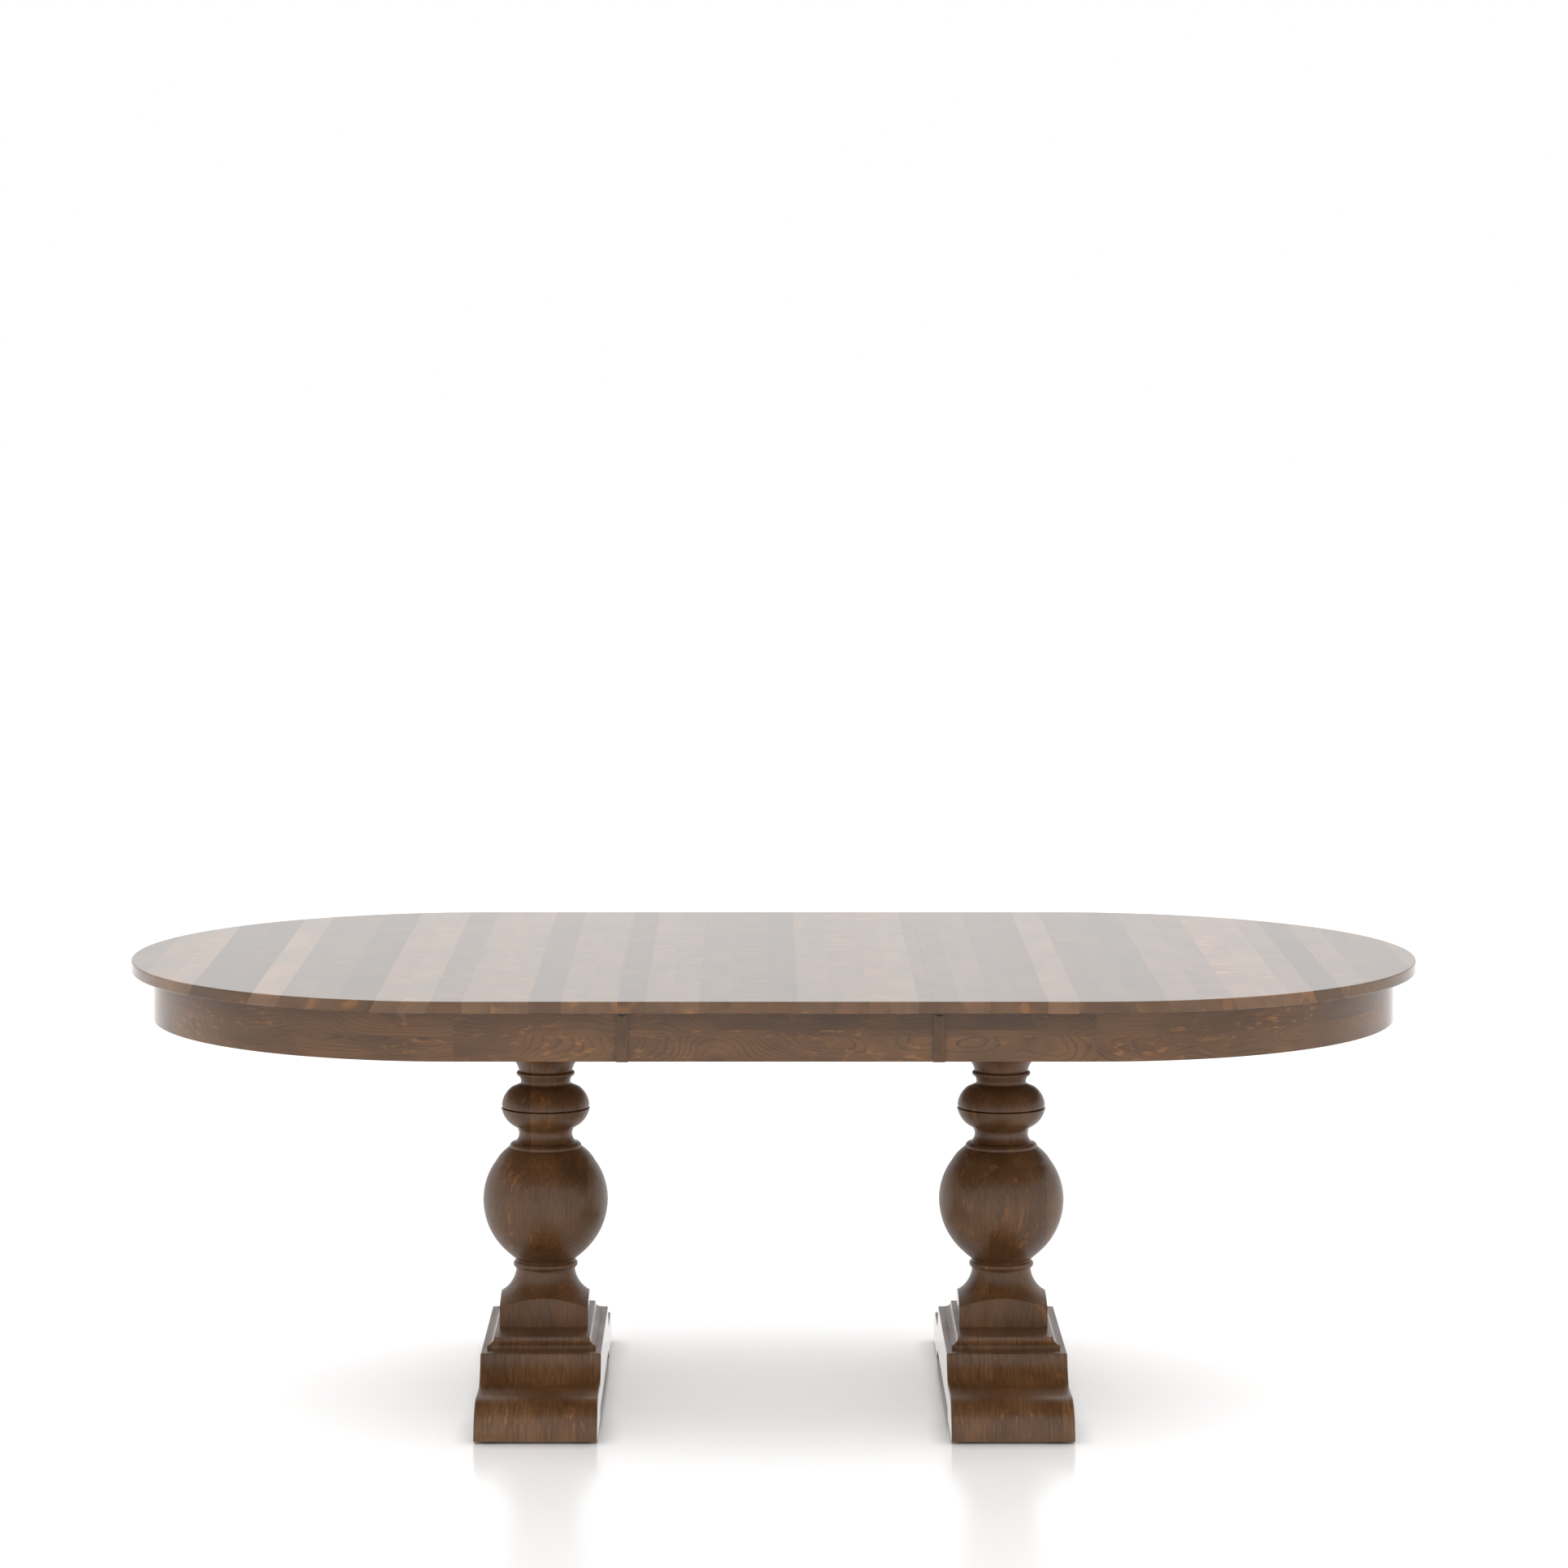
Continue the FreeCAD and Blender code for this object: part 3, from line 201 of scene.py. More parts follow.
def centred(tree, value, reach):   # 0 to 1 becomes half the reach either side of 0
    return calc(tree, "MULTIPLY", calc(tree, "SUBTRACT", value, 0.5), reach)


class Grain:   # noise that runs the way the wood does, and chance values for each stave
    def __init__(self, tree, look, axes):
        self.tree = tree
        self.along, self.across, self.deep, board, self.shade = axes(tree)
        cellInputs = {"W": calc(tree, "DIVIDE", self.across, look["stave"]), "Scale": 1.0,
                      "Randomness": look["unevenness"]}
        cell = addNode(tree, "ShaderNodeTexVoronoi", cellInputs, voronoi_dimensions="1D")
        self.chance = addNode(tree, "ShaderNodeSeparateColor", {0: cell.outputs["Color"]}).outputs
        self.staveMiddle = calc(tree, "MULTIPLY", cell.outputs["W"], look["stave"])
        self.start = calc(tree, "ADD", calc(tree, "MULTIPLY", self.chance[0], look["staveShift"]),
                          calc(tree, "MULTIPLY", board, look["boardShift"]))
        rise = partsOf(tree, addNode(tree, "ShaderNodeNewGeometry").outputs["True Normal"])[2]
        level = calc(tree, "ABSOLUTE", rise)   # 1 on a level face, 0 on an upright edge
        self.steady = calc(tree, "MULTIPLY_ADD", level, look["edgeCalm"], 1.0 - look["edgeCalm"])

    def read(self, pattern, acrossRate=None, alongRate=None):
        usualAcross, usualAlong, detail, place = grainPatterns[pattern]
        acrossRate = acrossRate or usualAcross
        acrossPart = calc(self.tree, "MULTIPLY", self.across, acrossRate)
        alongPart = calc(self.tree, "MULTIPLY", self.along, alongRate or usualAlong)
        deepPart = calc(self.tree, "MULTIPLY", self.deep, acrossRate)
        shifted = calc(self.tree, "ADD", calc(self.tree, "ADD", alongPart, self.start), place)
        return noise(self.tree, vectorOf(self.tree, acrossPart, shifted, deepPart), detail)

    def patches(self, pattern):
        return ramp(self.tree, self.read(pattern), *patchLimits[pattern])


def ringLines(tree, look, grain):   # distance from a heart line that wanders under the face
    sideways = calc(tree, "SUBTRACT", grain.across, grain.staveMiddle)
    spread = centred(tree, grain.chance[1], look["stave"] * look["heartSpread"])
    sideways = calc(tree, "ADD", sideways, spread)
    sideways = calc(tree, "ADD", sideways, centred(tree, grain.read("waver"), look["waver"]))
    inward = centred(tree, grain.read("heart", alongRate=look["swellRate"]), look["swell"] * 2.0)
    inward = calc(tree, "ADD", inward, centred(tree, grain.read("inwardWaver"), look["waver"]))
    inward = calc(tree, "ADD", inward, grain.deep)
    inward = calc(tree, "ADD", inward, centred(tree, grain.chance[2], look["stave"]))
    squares = calc(tree, "ADD", calc(tree, "MULTIPLY", sideways, sideways),
                   calc(tree, "MULTIPLY", inward, inward))
    rings = calc(tree, "DIVIDE", calc(tree, "SQRT", squares), look["ringGap"])
    yearInputs = {"W": calc(tree, "FLOOR", rings)}
    year = addNode(tree, "ShaderNodeTexWhiteNoise", yearInputs, noise_dimensions="1D").outputs["Value"]
    line = calc(tree, "POWER", calc(tree, "FRACT", rings), look["ringSharpness"])
    for chance, faintest in ((year, look["faintestRing"]), (grain.patches("patches"), look["faintestPatch"])):
        line = calc(tree, "MULTIPLY", line, calc(tree, "MULTIPLY_ADD", chance, 1.0 - faintest, faintest))
    return calc(tree, "MULTIPLY", line, grain.steady)


def paleFlecks(tree, look, grain):   # short ones along the grain, and figure across it
    fleck = grain.read("fleck", look["fleckRate"], look["fleckRate"] / look["fleckLength"])
    fleck = ramp(tree, fleck, look["fleckStart"], look["fleckStart"] + look["fleckSoftness"])
    fleck = calc(tree, "MULTIPLY", fleck, grain.patches("fleckArea"))
    fleck = calc(tree, "MULTIPLY", fleck, look["fleckStrength"])
    figure = calc(tree, "MULTIPLY", grain.chance[2], look["figure"])
    return calc(tree, "MAXIMUM", fleck, calc(tree, "MULTIPLY", grain.patches("figure"), figure))


def staveTint(tree, look, grain, fibres, blotches):   # tone and hue, stave by stave, to multiply by
    staveStep = calc(tree, "MULTIPLY", grain.steady, centred(tree, grain.chance[1], look["staveTone"] * 2.0))
    tone = calc(tree, "POWER", 2.0, staveStep)
    for pattern, reach in ((blotches, look["blotch"] * 2.0), (fibres, look["fibreStrength"])):
        tone = calc(tree, "MULTIPLY", tone, calc(tree, "ADD", centred(tree, pattern, reach), 1.0))
    tone = calc(tree, "MULTIPLY", tone, calc(tree, "MULTIPLY", grain.shade, look["tone"]))
    warmth = centred(tree, grain.chance[0], look["staveHue"] * 2.0)
    return vectorOf(tree, *(calc(tree, "MULTIPLY", tone, calc(tree, "MULTIPLY_ADD", warmth, pull, 1.0))
                            for pull in look["huePull"]))


def lacquerRoughness(tree, look, grain, fibres, blotches):
    shiniest = look["roughness"] - look["fibreSheen"] / 2.0
    gloss = calc(tree, "MULTIPLY_ADD", fibres, look["fibreSheen"], shiniest)
    sheen = centred(tree, grain.chance[2], look["unevenSheen"] * 2.0)
    sheen = calc(tree, "ADD", sheen, centred(tree, blotches, look["unevenSheen"]))
    gloss = calc(tree, "ADD", gloss, sheen)
    facing = addNode(tree, "ShaderNodeLayerWeight", {"Blend": 0.5}).outputs["Facing"]
    grazing = ramp(tree, facing, look["grazingStart"], 1.0)
    smoother = calc(tree, "SUBTRACT", look["grazingRoughness"], gloss)
    return calc(tree, "MULTIPLY_ADD", grazing, smoother, gloss)


def timber(name, colours, axes, **changes):
    look = {**timberLook, **changes}
    material, tree = newMaterial(name)
    grain = Grain(tree, look, axes)
    line = ringLines(tree, look, grain)
    fibres = grain.read("fibres", look["fibreRate"])
    blotches = grain.patches("blotches")

    colour = blendColours(tree, grain.patches("broad"), colours["mid"], colours["light"])
    colour = blendColours(tree, calc(tree, "MULTIPLY", line, look["ringStrength"]), colour, colours["dark"])
    colour = blendColours(tree, paleFlecks(tree, look, grain), colour, colours["fleck"])
    tint = staveTint(tree, look, grain, fibres, blotches)
    colour = addNode(tree, "ShaderNodeVectorMath", {0: colour, 1: tint}, operation="MULTIPLY").outputs[0]
    # painted sheen: grey lightness added stave by stave on level faces, standing in for reflection
    veil = calc(tree, "MULTIPLY", grain.steady, calc(tree, "MULTIPLY", grain.chance[1], look["veil"]))
    veil = vectorOf(tree, veil, veil, veil)
    colour = addNode(tree, "ShaderNodeVectorMath", {0: colour, 1: veil}, operation="ADD").outputs[0]

    relief = calc(tree, "MULTIPLY_ADD", line, -look["ringRelief"], fibres)
    bump = addNode(tree, "ShaderNodeBump", {"Height": relief, "Distance": look["bump"], "Strength": 0.5})
    shader = addNode(tree, "ShaderNodeBsdfPrincipled", {
        "Base Color": colour, "Normal": bump.outputs[0],
        "Roughness": lacquerRoughness(tree, look, grain, fibres, blotches),
    })
    addNode(tree, "ShaderNodeOutputMaterial", {"Surface": shader.outputs[0]})
    return material


table = {
    "topHeight": cadHigh.z,
    "apronFace": cadHigh.y - 0.0384,     # from the middle out to the straight aprons' faces
    "leafHalf": 0.259,
    "ovalStart": 0.526,                  # where the straight sides end
    "edgeLean": 0.5,                     # stave joints lean outwards down the oval edge
    "boardSeam": 0.7105,                 # height of the glue line in the straight aprons
    "upperShift": 3.0,                   # the upper board's grain, counted in boards
    "upperTone": 0.78,
    "upperToneFrom": -0.05,              # its darker tone fades in from the left seam to here
    "ovalRadius": 0.56,
    "pedestalSpacing": 0.796,
    "footSide": 0.8,                     # a face turned this far sideways is a side of the foot
}


def panelAxes(tree):   # staves run from front to back
    x, y, z = objectAxes(tree)
    below = calc(tree, "SUBTRACT", table["topHeight"], z)
    onOval = calc(tree, "GREATER_THAN", calc(tree, "ABSOLUTE", x), table["ovalStart"])
    lean = calc(tree, "MULTIPLY", calc(tree, "MULTIPLY", below, table["edgeLean"]),
                calc(tree, "MULTIPLY", onOval, calc(tree, "SIGN", x)))
    return y, calc(tree, "SUBTRACT", x, lean), below, 0.0, 1.0


def frontBoardAxes(tree):   # boards run along the table, an upper one glued to a lower one
    x, y, z = objectAxes(tree)
    deep = calc(tree, "SUBTRACT", calc(tree, "ABSOLUTE", y), table["apronFace"])
    right = calc(tree, "GREATER_THAN", x, table["leafHalf"])
    pastLeft = calc(tree, "GREATER_THAN", x, -table["leafHalf"])
    upper = calc(tree, "MULTIPLY", calc(tree, "GREATER_THAN", z, table["boardSeam"]), pastLeft)
    board = calc(tree, "ADD", calc(tree, "SIGN", y), calc(tree, "ADD", right, pastLeft))
    board = calc(tree, "ADD", board, calc(tree, "MULTIPLY", upper, table["upperShift"]))
    fade = ramp(tree, x, -table["leafHalf"], table["upperToneFrom"])
    shade = calc(tree, "MULTIPLY_ADD", calc(tree, "MULTIPLY", upper, fade), table["upperTone"] - 1.0, 1.0)
    return x, z, deep, board, shade


def slideAxes(tree):
    x, y, z = objectAxes(tree)
    return x, y, z, 0.0, 1.0


def crossAxes(tree):
    x, y, z = objectAxes(tree)
    return y, x, z, 0.0, 1.0


def ovalBoardAxes(tree):   # the board follows the oval end round
    x, y, z = objectAxes(tree)
    beyond = calc(tree, "SUBTRACT", calc(tree, "ABSOLUTE", x), table["ovalStart"])
    around = calc(tree, "MULTIPLY", calc(tree, "ARCTAN2", y, beyond), table["ovalRadius"])
    return around, z, 0.0, calc(tree, "SIGN", x), 1.0


def fromPedestal(tree, x):   # signed distance from the nearer column's axis, and which one it is
    side = calc(tree, "SIGN", x)
    return calc(tree, "SUBTRACT", x, calc(tree, "MULTIPLY", side, table["pedestalSpacing"] / 2)), side


def columnAxes(tree):   # upright staves glued side by side
    x, y, z = objectAxes(tree)
    across, side = fromPedestal(tree, x)
    return z, across, y, side, 1.0


def footAxes(tree):   # grain runs out along the foot and down over its toes; its sides show it lengthways
    x, y, z = objectAxes(tree)
    across, side = fromPedestal(tree, x)
    outward = calc(tree, "SUBTRACT", calc(tree, "ABSOLUTE", y), z)
    facing = partsOf(tree, addNode(tree, "ShaderNodeNewGeometry").outputs["True Normal"])[0]
    sideways = calc(tree, "GREATER_THAN", calc(tree, "ABSOLUTE", facing), table["footSide"])

    def either(first, second):
        return addNode(tree, "ShaderNodeMix", {0: sideways, 2: first, 3: second}).outputs[0]

    return either(outward, y), either(across, z), 0.0, calc(tree, "ADD", side, sideways), 1.0


apronLook = {
    "stave": 0.060, "staveTone": 0.0, "staveHue": 0.0, "ringGap": 0.0055, "swell": 0.17, "swellRate": 2.2,
    "ringStrength": 1.0, "fleckStart": 0.545, "fleckRate": 115.0, "fleckStrength": 0.7,
}
woods = {
    # the panel's strong stave tone is partly real and partly painted sheen that differs between staves
    "panel": timber("stainedPanel", stain, panelAxes, stave=0.050, staveTone=0.72, staveHue=0.15,
                    blotch=0.12, figure=0.90, fleckStrength=0.20, ringStrength=0.55, edgeCalm=0.55,
                    veil=0.055, roughness=0.20, unevenSheen=0.07, grazingStart=0.6),
    "frontBoard": timber("stainedApron", stain, frontBoardAxes, **apronLook),
    "ovalBoard": timber("stainedOvalApron", stain, ovalBoardAxes, **apronLook),
    "strip": timber("stainedStrip", stain, columnAxes, stave=0.030, staveTone=0.0, staveHue=0.0, tone=0.82),
    "column": timber("stainedColumn", stain, columnAxes, stave=0.100, swell=0.10, swellRate=4.5,
                     ringGap=0.0045, fibreRate=260.0, fibreStrength=1.0, staveTone=0.14, staveHue=0.15,
                     ringStrength=0.70, fleckStart=0.555, roughness=0.34, grazingStart=0.8),
    "foot": timber("stainedFoot", stain, footAxes, stave=0.110, swell=0.015, swellRate=1.2, staveTone=0.12,
                   staveHue=0.15, ringStrength=1.0, ringGap=0.0045, fibreRate=260.0, fibreStrength=1.3,
                   roughness=0.34, grazingStart=0.82),
    "bolster": timber("stainedBolster", stain, crossAxes, stave=0.12, staveTone=0.15),
    "slide": timber("paleSlides", paleTimber, slideAxes, stave=0.12, staveTone=0.12, roughness=0.40),
    "cross": timber("paleCrossPieces", paleTimber, crossAxes, stave=0.12, staveTone=0.12, roughness=0.40),
}
print("woods mixed")


# Metal and plastic

plainLook = {
    "detail": 4.0,
    "toneReach": 0.4,        # how much the speckles differ in tone
    "sheenReach": 0.2,       # and in roughness
    "bump": 0.00005,
    "bumpStrength": 0.4,
}


def plainFinish(name, colour, metallic, roughness, speckle):
    material, tree = newMaterial(name)
    x, y, z = objectAxes(tree)
    grain = noise(tree, vectorOf(tree, x, y, z), plainLook["detail"], speckle)
    shade = addNode(tree, "ShaderNodeVectorMath", {0: colour}, operation="SCALE")
    toneReach, sheenReach = plainLook["toneReach"], plainLook["sheenReach"]
    feed(tree, shade.inputs["Scale"], calc(tree, "MULTIPLY_ADD", grain, toneReach, 1.0 - toneReach / 2.0))
    gloss = calc(tree, "MULTIPLY_ADD", grain, sheenReach, roughness - sheenReach / 2.0)
    bump = addNode(tree, "ShaderNodeBump", {
        "Height": grain, "Distance": plainLook["bump"], "Strength": plainLook["bumpStrength"],
    })
    shader = addNode(tree, "ShaderNodeBsdfPrincipled", {
        "Base Color": shade.outputs[0], "Metallic": metallic, "Roughness": gloss, "Normal": bump.outputs[0],
    })
    addNode(tree, "ShaderNodeOutputMaterial", {"Surface": shader.outputs[0]})
    return material


zinc = plainFinish("zincPlate", (0.58, 0.57, 0.54), 1.0, 0.38, 260.0)
nylon = plainFinish("darkNylon", (0.035, 0.033, 0.031), 0.0, 0.45, 400.0)

finishOf = {
    "_top": woods["panel"],
    "_front_apron": woods["frontBoard"],
    "_back_apron": woods["frontBoard"],
    "_end_apron": woods["ovalBoard"],
    "_strip": woods["strip"],
    "_strips": woods["strip"],
    "_column": woods["column"],
    "_plinth": woods["foot"],
    "_foot": woods["foot"],
    "_bolster": woods["bolster"],
    "_blocks": woods["slide"],
    "_rail": woods["slide"],
    "_tie": woods["cross"],
    "_batten": woods["cross"],
    "_screws": zinc,
    "_bolts": zinc,
    "_axles": zinc,
    "_plates": zinc,
    "_studs": zinc,
    "_lever": zinc,
    "_racks": nylon,
    "_pinion": nylon,
    "_glides": nylon,
}


def finishFor(nodeName):
    return finishOf[next(e for e in sorted(finishOf, key=len, reverse=True) if nodeName.endswith(e))]


for nodeName, node in cadNodes.items():
    node.data.materials.clear()
    node.data.materials.append(finishFor(nodeName))
print("carried-over pieces dressed")


# Growing pieces with geometry nodes

def newGeometryTree(name, inputs):   # inputs: name of each size and its socket type
    tree = bpy.data.node_groups.new(name, "GeometryNodeTree")
    tree.interface.new_socket("Geometry", in_out="INPUT", socket_type="NodeSocketGeometry")
    for inputName, socketType in inputs.items():
        tree.interface.new_socket(inputName, in_out="INPUT", socket_type=socketType)
    tree.interface.new_socket("Material", in_out="INPUT", socket_type="NodeSocketMaterial")
    tree.interface.new_socket("Geometry", in_out="OUTPUT", socket_type="NodeSocketGeometry")
    return tree, addNode(tree, "NodeGroupInput").outputs


def closeTree(tree, geometry, inlet):
    solid = addNode(tree, "GeometryNodeRealizeInstances", {"Geometry": geometry}).outputs[0]
    dressed = addNode(tree, "GeometryNodeSetMaterial", {"Geometry": solid, "Material": inlet["Material"]})
    addNode(tree, "NodeGroupOutput", {"Geometry": dressed.outputs[0]})


def growPiece(name, tree, points, edges, sizes, node, sharpAngle):
    seed = bpy.data.meshes.new(name)
    seed.from_pydata(points, edges, [])
    piece = bpy.data.objects.new(name, seed)
    bpy.context.scene.collection.objects.link(piece)
    modifier = piece.modifiers.new("grow", "NODES")
    modifier.node_group = tree
    values = {**sizes, "Material": finishFor(node)}
    for socket in tree.interface.items_tree:
        if socket.in_out == "INPUT" and socket.name in values:
            modifier[socket.identifier] = values[socket.name]
    grown = piece.evaluated_get(bpy.context.evaluated_depsgraph_get())
    mesh = bpy.data.meshes.new_from_object(grown)
    piece.modifiers.remove(modifier)
    shell = bmesh.new()
    shell.from_mesh(mesh)
    bmesh.ops.recalc_face_normals(shell, faces=shell.faces)
    shell.to_mesh(mesh)
    shell.free()
    mesh.shade_smooth()
    mesh.set_sharp_from_angle(angle=math.radians(sharpAngle))
    piece.data = mesh
    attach(piece, bodyOf[node])
    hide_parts(node)
    return piece


# The turned columns: an outline swept round, with its square blocks cut flat

columnShape = {
    "ballRadius": 0.110,
    "square": 0.153,
    "blockRadius": 1.018,            # a share of the ball's radius; the next four are of the column's height
    "footChamferLow": 0.0580,
    "footChamferHigh": 0.0902,
    "headChamferLow": 0.8601,
    "headChamferHigh": 0.8931,
    "steps": 192,
    "rowGap": 0.0018,
    "rowsPerArc": 8,                 # at least
    "mergeWithin": 0.00002,
    "insideSquare": 0.9999,          # below this share of its chamfer a point is held in the square
    "sharpAngle": 28.0,
}
columnOutline = (   # straight to a point, or round through one point to the next; radius and height shares
    ("to", 0.0, 0.0), ("to", 1.018, 0.0), ("to", 1.018, 0.0580), ("to", 0.6955, 0.0902),
    ("by", 0.5425, 0.1200), ("to", 0.4680, 0.1605), ("to", 0.4770, 0.1675),
    ("by", 0.5120, 0.1778), ("to", 0.4660, 0.1887), ("to", 0.4560, 0.1917),
    ("by", 0.5825, 0.2118), ("to", 0.7010, 0.2345), ("by", 0.8310, 0.2690), ("to", 0.9240, 0.3071),
    ("by", 0.9770, 0.3473), ("to", 0.9930, 0.3783), ("by", 0.9500, 0.4415), ("to", 0.7880, 0.5055),
    ("by", 0.7040, 0.5287), ("to", 0.5900, 0.5485), ("to", 0.5700, 0.5485), ("to", 0.5700, 0.5560),
    ("by", 0.5520, 0.5617), ("to", 0.5100, 0.5662), ("to", 0.4760, 0.5680),
    ("by", 0.4390, 0.5788), ("to", 0.4235, 0.5915), ("by", 0.4390, 0.6051), ("to", 0.4813, 0.6150),
    ("by", 0.6200, 0.6370), ("to", 0.7030, 0.6742), ("to", 0.6600, 0.6770), ("to", 0.6900, 0.6795),
    ("to", 0.6920, 0.6845), ("to", 0.6970, 0.6852), ("by", 0.6560, 0.7133), ("to", 0.5330, 0.7412),
    ("to", 0.4400, 0.7488), ("to", 0.4020, 0.7525), ("by", 0.3955, 0.7610), ("to", 0.4090, 0.7700),
    ("to", 0.4220, 0.7767), ("to", 0.4430, 0.7780), ("by", 0.4650, 0.7858), ("to", 0.4300, 0.7925),
    ("to", 0.4240, 0.7942), ("by", 0.5127, 0.8300), ("to", 0.6955, 0.8601), ("to", 1.018, 0.8931),
    ("to", 1.018, 1.0), ("to", 0.0, 1.0),
)


def arcPoints(first, through, last):   # points on the circle through three points, after the first
    a, b = through - first, last - first
    cross = 2.0 * (a.x * b.y - a.y * b.x)
    centre = first + Vector((b.y * a.length_squared - a.y * b.length_squared,
                             a.x * b.length_squared - b.x * a.length_squared)) / cross
    radius = (first - centre).length
    angles = [math.atan2(p.y - centre.y, p.x - centre.x) for p in (first, through, last)]
    sweep = (angles[2] - angles[0]) % (2.0 * math.pi)
    if (angles[1] - angles[0]) % (2.0 * math.pi) > sweep:
        sweep -= 2.0 * math.pi
    count = max(columnShape["rowsPerArc"], math.ceil(abs(sweep) * radius / columnShape["rowGap"]))
    turns = (angles[0] + sweep * step / count for step in range(1, count + 1))
    return [centre + Vector((math.cos(turn), math.sin(turn))) * radius for turn in turns]


def outlinePoints(outline, radius, height):   # straight runs get one point halfway, where a chamfer creases
    points = []
    through = None
    for move, radiusShare, heightShare in outline:
        point = Vector((radiusShare * radius, heightShare * height))
        if move == "by":
            through = point
        elif through is not None:
            points += arcPoints(points[-1], through, point)
            through = None
        elif points:
            points += [(points[-1] + point) / 2.0, point]
        else:
            points.append(point)
    return points


def makeTurnedTree():
    tree, inlet = newGeometryTree("turnedColumn", {
        "Steps": "NodeSocketInt", "Axis": "NodeSocketVector",
        "Square Half": "NodeSocketFloat", "Block Radius": "NodeSocketFloat",
        "Foot Chamfer Low": "NodeSocketFloat", "Foot Chamfer High": "NodeSocketFloat",
        "Head Chamfer Low": "NodeSocketFloat", "Head Chamfer High": "NodeSocketFloat",
        "Merge Within": "NodeSocketFloat",
    })
    outline = inlet["Geometry"]
    rows = addNode(tree, "GeometryNodeAttributeDomainSize", {"Geometry": outline}).outputs["Point Count"]
    grid = addNode(tree, "GeometryNodeMeshGrid", {
        "Vertices X": calc(tree, "ADD", inlet["Steps"], 1.0), "Vertices Y": rows,
    }).outputs["Mesh"]

    # each grid point finds its column of the sweep and its row of the outline
    index = addNode(tree, "GeometryNodeInputIndex").outputs[0]
    column = calc(tree, "FLOOR", calc(tree, "DIVIDE", calc(tree, "ADD", index, 0.5), rows))
    row = calc(tree, "SUBTRACT", index, calc(tree, "MULTIPLY", column, rows))
    sample = addNode(tree, "GeometryNodeSampleIndex", data_type="FLOAT_VECTOR")
    feed(tree, sample.inputs["Geometry"], outline)
    feed(tree, sample.inputs["Value"], addNode(tree, "GeometryNodeInputPosition").outputs[0])
    feed(tree, sample.inputs["Index"], row)
    radius, _, height = partsOf(tree, sample.outputs[0])
    angle = calc(tree, "MULTIPLY", column, calc(tree, "DIVIDE", 2.0 * math.pi, inlet["Steps"]))
    cosine, sine = calc(tree, "COSINE", angle), calc(tree, "SINE", angle)
    widest = calc(tree, "MAXIMUM", calc(tree, "ABSOLUTE", cosine), calc(tree, "ABSOLUTE", sine))
    squareRadius = calc(tree, "DIVIDE", inlet["Square Half"], widest)

    # how far up its chamfer the point is, from 0 at the square block to 1 at the turning
    bothChamfers = calc(tree, "ADD", inlet["Foot Chamfer High"], inlet["Head Chamfer Low"])
    middle = calc(tree, "MULTIPLY", bothChamfers, 0.5)
    atHead = calc(tree, "GREATER_THAN", height, middle)

    def footOrHead(foot, head):
        return calc(tree, "MULTIPLY_ADD", atHead, calc(tree, "SUBTRACT", head, foot), foot)

    blockEnd = footOrHead(inlet["Foot Chamfer Low"], inlet["Head Chamfer High"])
    turningEnd = footOrHead(inlet["Foot Chamfer High"], inlet["Head Chamfer Low"])
    rise = calc(tree, "SUBTRACT", turningEnd, blockEnd)
    share = calc(tree, "DIVIDE", calc(tree, "SUBTRACT", height, blockEnd), rise)
    share = calc(tree, "MINIMUM", calc(tree, "MAXIMUM", share, 0.0), 1.0)

    # the chamfer's halfway row slides to where cone and flat meet, so that the crease is one clean edge
    narrowing = calc(tree, "SUBTRACT", inlet["Block Radius"], inlet["Square Half"])
    crease = calc(tree, "DIVIDE", calc(tree, "SUBTRACT", inlet["Block Radius"], squareRadius), narrowing)
    crease = calc(tree, "MINIMUM", crease, 1.0)
    doubled = calc(tree, "MULTIPLY", share, 2.0)
    lowerPart = calc(tree, "MULTIPLY", calc(tree, "MINIMUM", doubled, 1.0), crease)
    upperPart = calc(tree, "MULTIPLY", calc(tree, "MAXIMUM", calc(tree, "SUBTRACT", doubled, 1.0), 0.0),
                     calc(tree, "SUBTRACT", 1.0, crease))
    slide = calc(tree, "SUBTRACT", calc(tree, "ADD", lowerPart, upperPart), share)
    height = calc(tree, "MULTIPLY_ADD", slide, rise, height)
    radius = calc(tree, "SUBTRACT", radius, calc(tree, "MULTIPLY", slide, narrowing))
    inBlock = calc(tree, "LESS_THAN", share, columnShape["insideSquare"])
    excess = calc(tree, "MAXIMUM", calc(tree, "SUBTRACT", radius, squareRadius), 0.0)
    radius = calc(tree, "SUBTRACT", radius, calc(tree, "MULTIPLY", inBlock, excess))

    out, aside = calc(tree, "MULTIPLY", radius, cosine), calc(tree, "MULTIPLY", radius, sine)
    around = vectorOf(tree, out, aside, height)
    place = addNode(tree, "ShaderNodeVectorMath", {0: around, 1: inlet["Axis"]}, operation="ADD").outputs[0]
    swept = addNode(tree, "GeometryNodeSetPosition", {"Geometry": grid, "Position": place}).outputs[0]
    merged = addNode(tree, "GeometryNodeMergeByDistance", {
        "Geometry": swept, "Distance": inlet["Merge Within"],
    }).outputs[0]
    closeTree(tree, merged, inlet)
    return tree


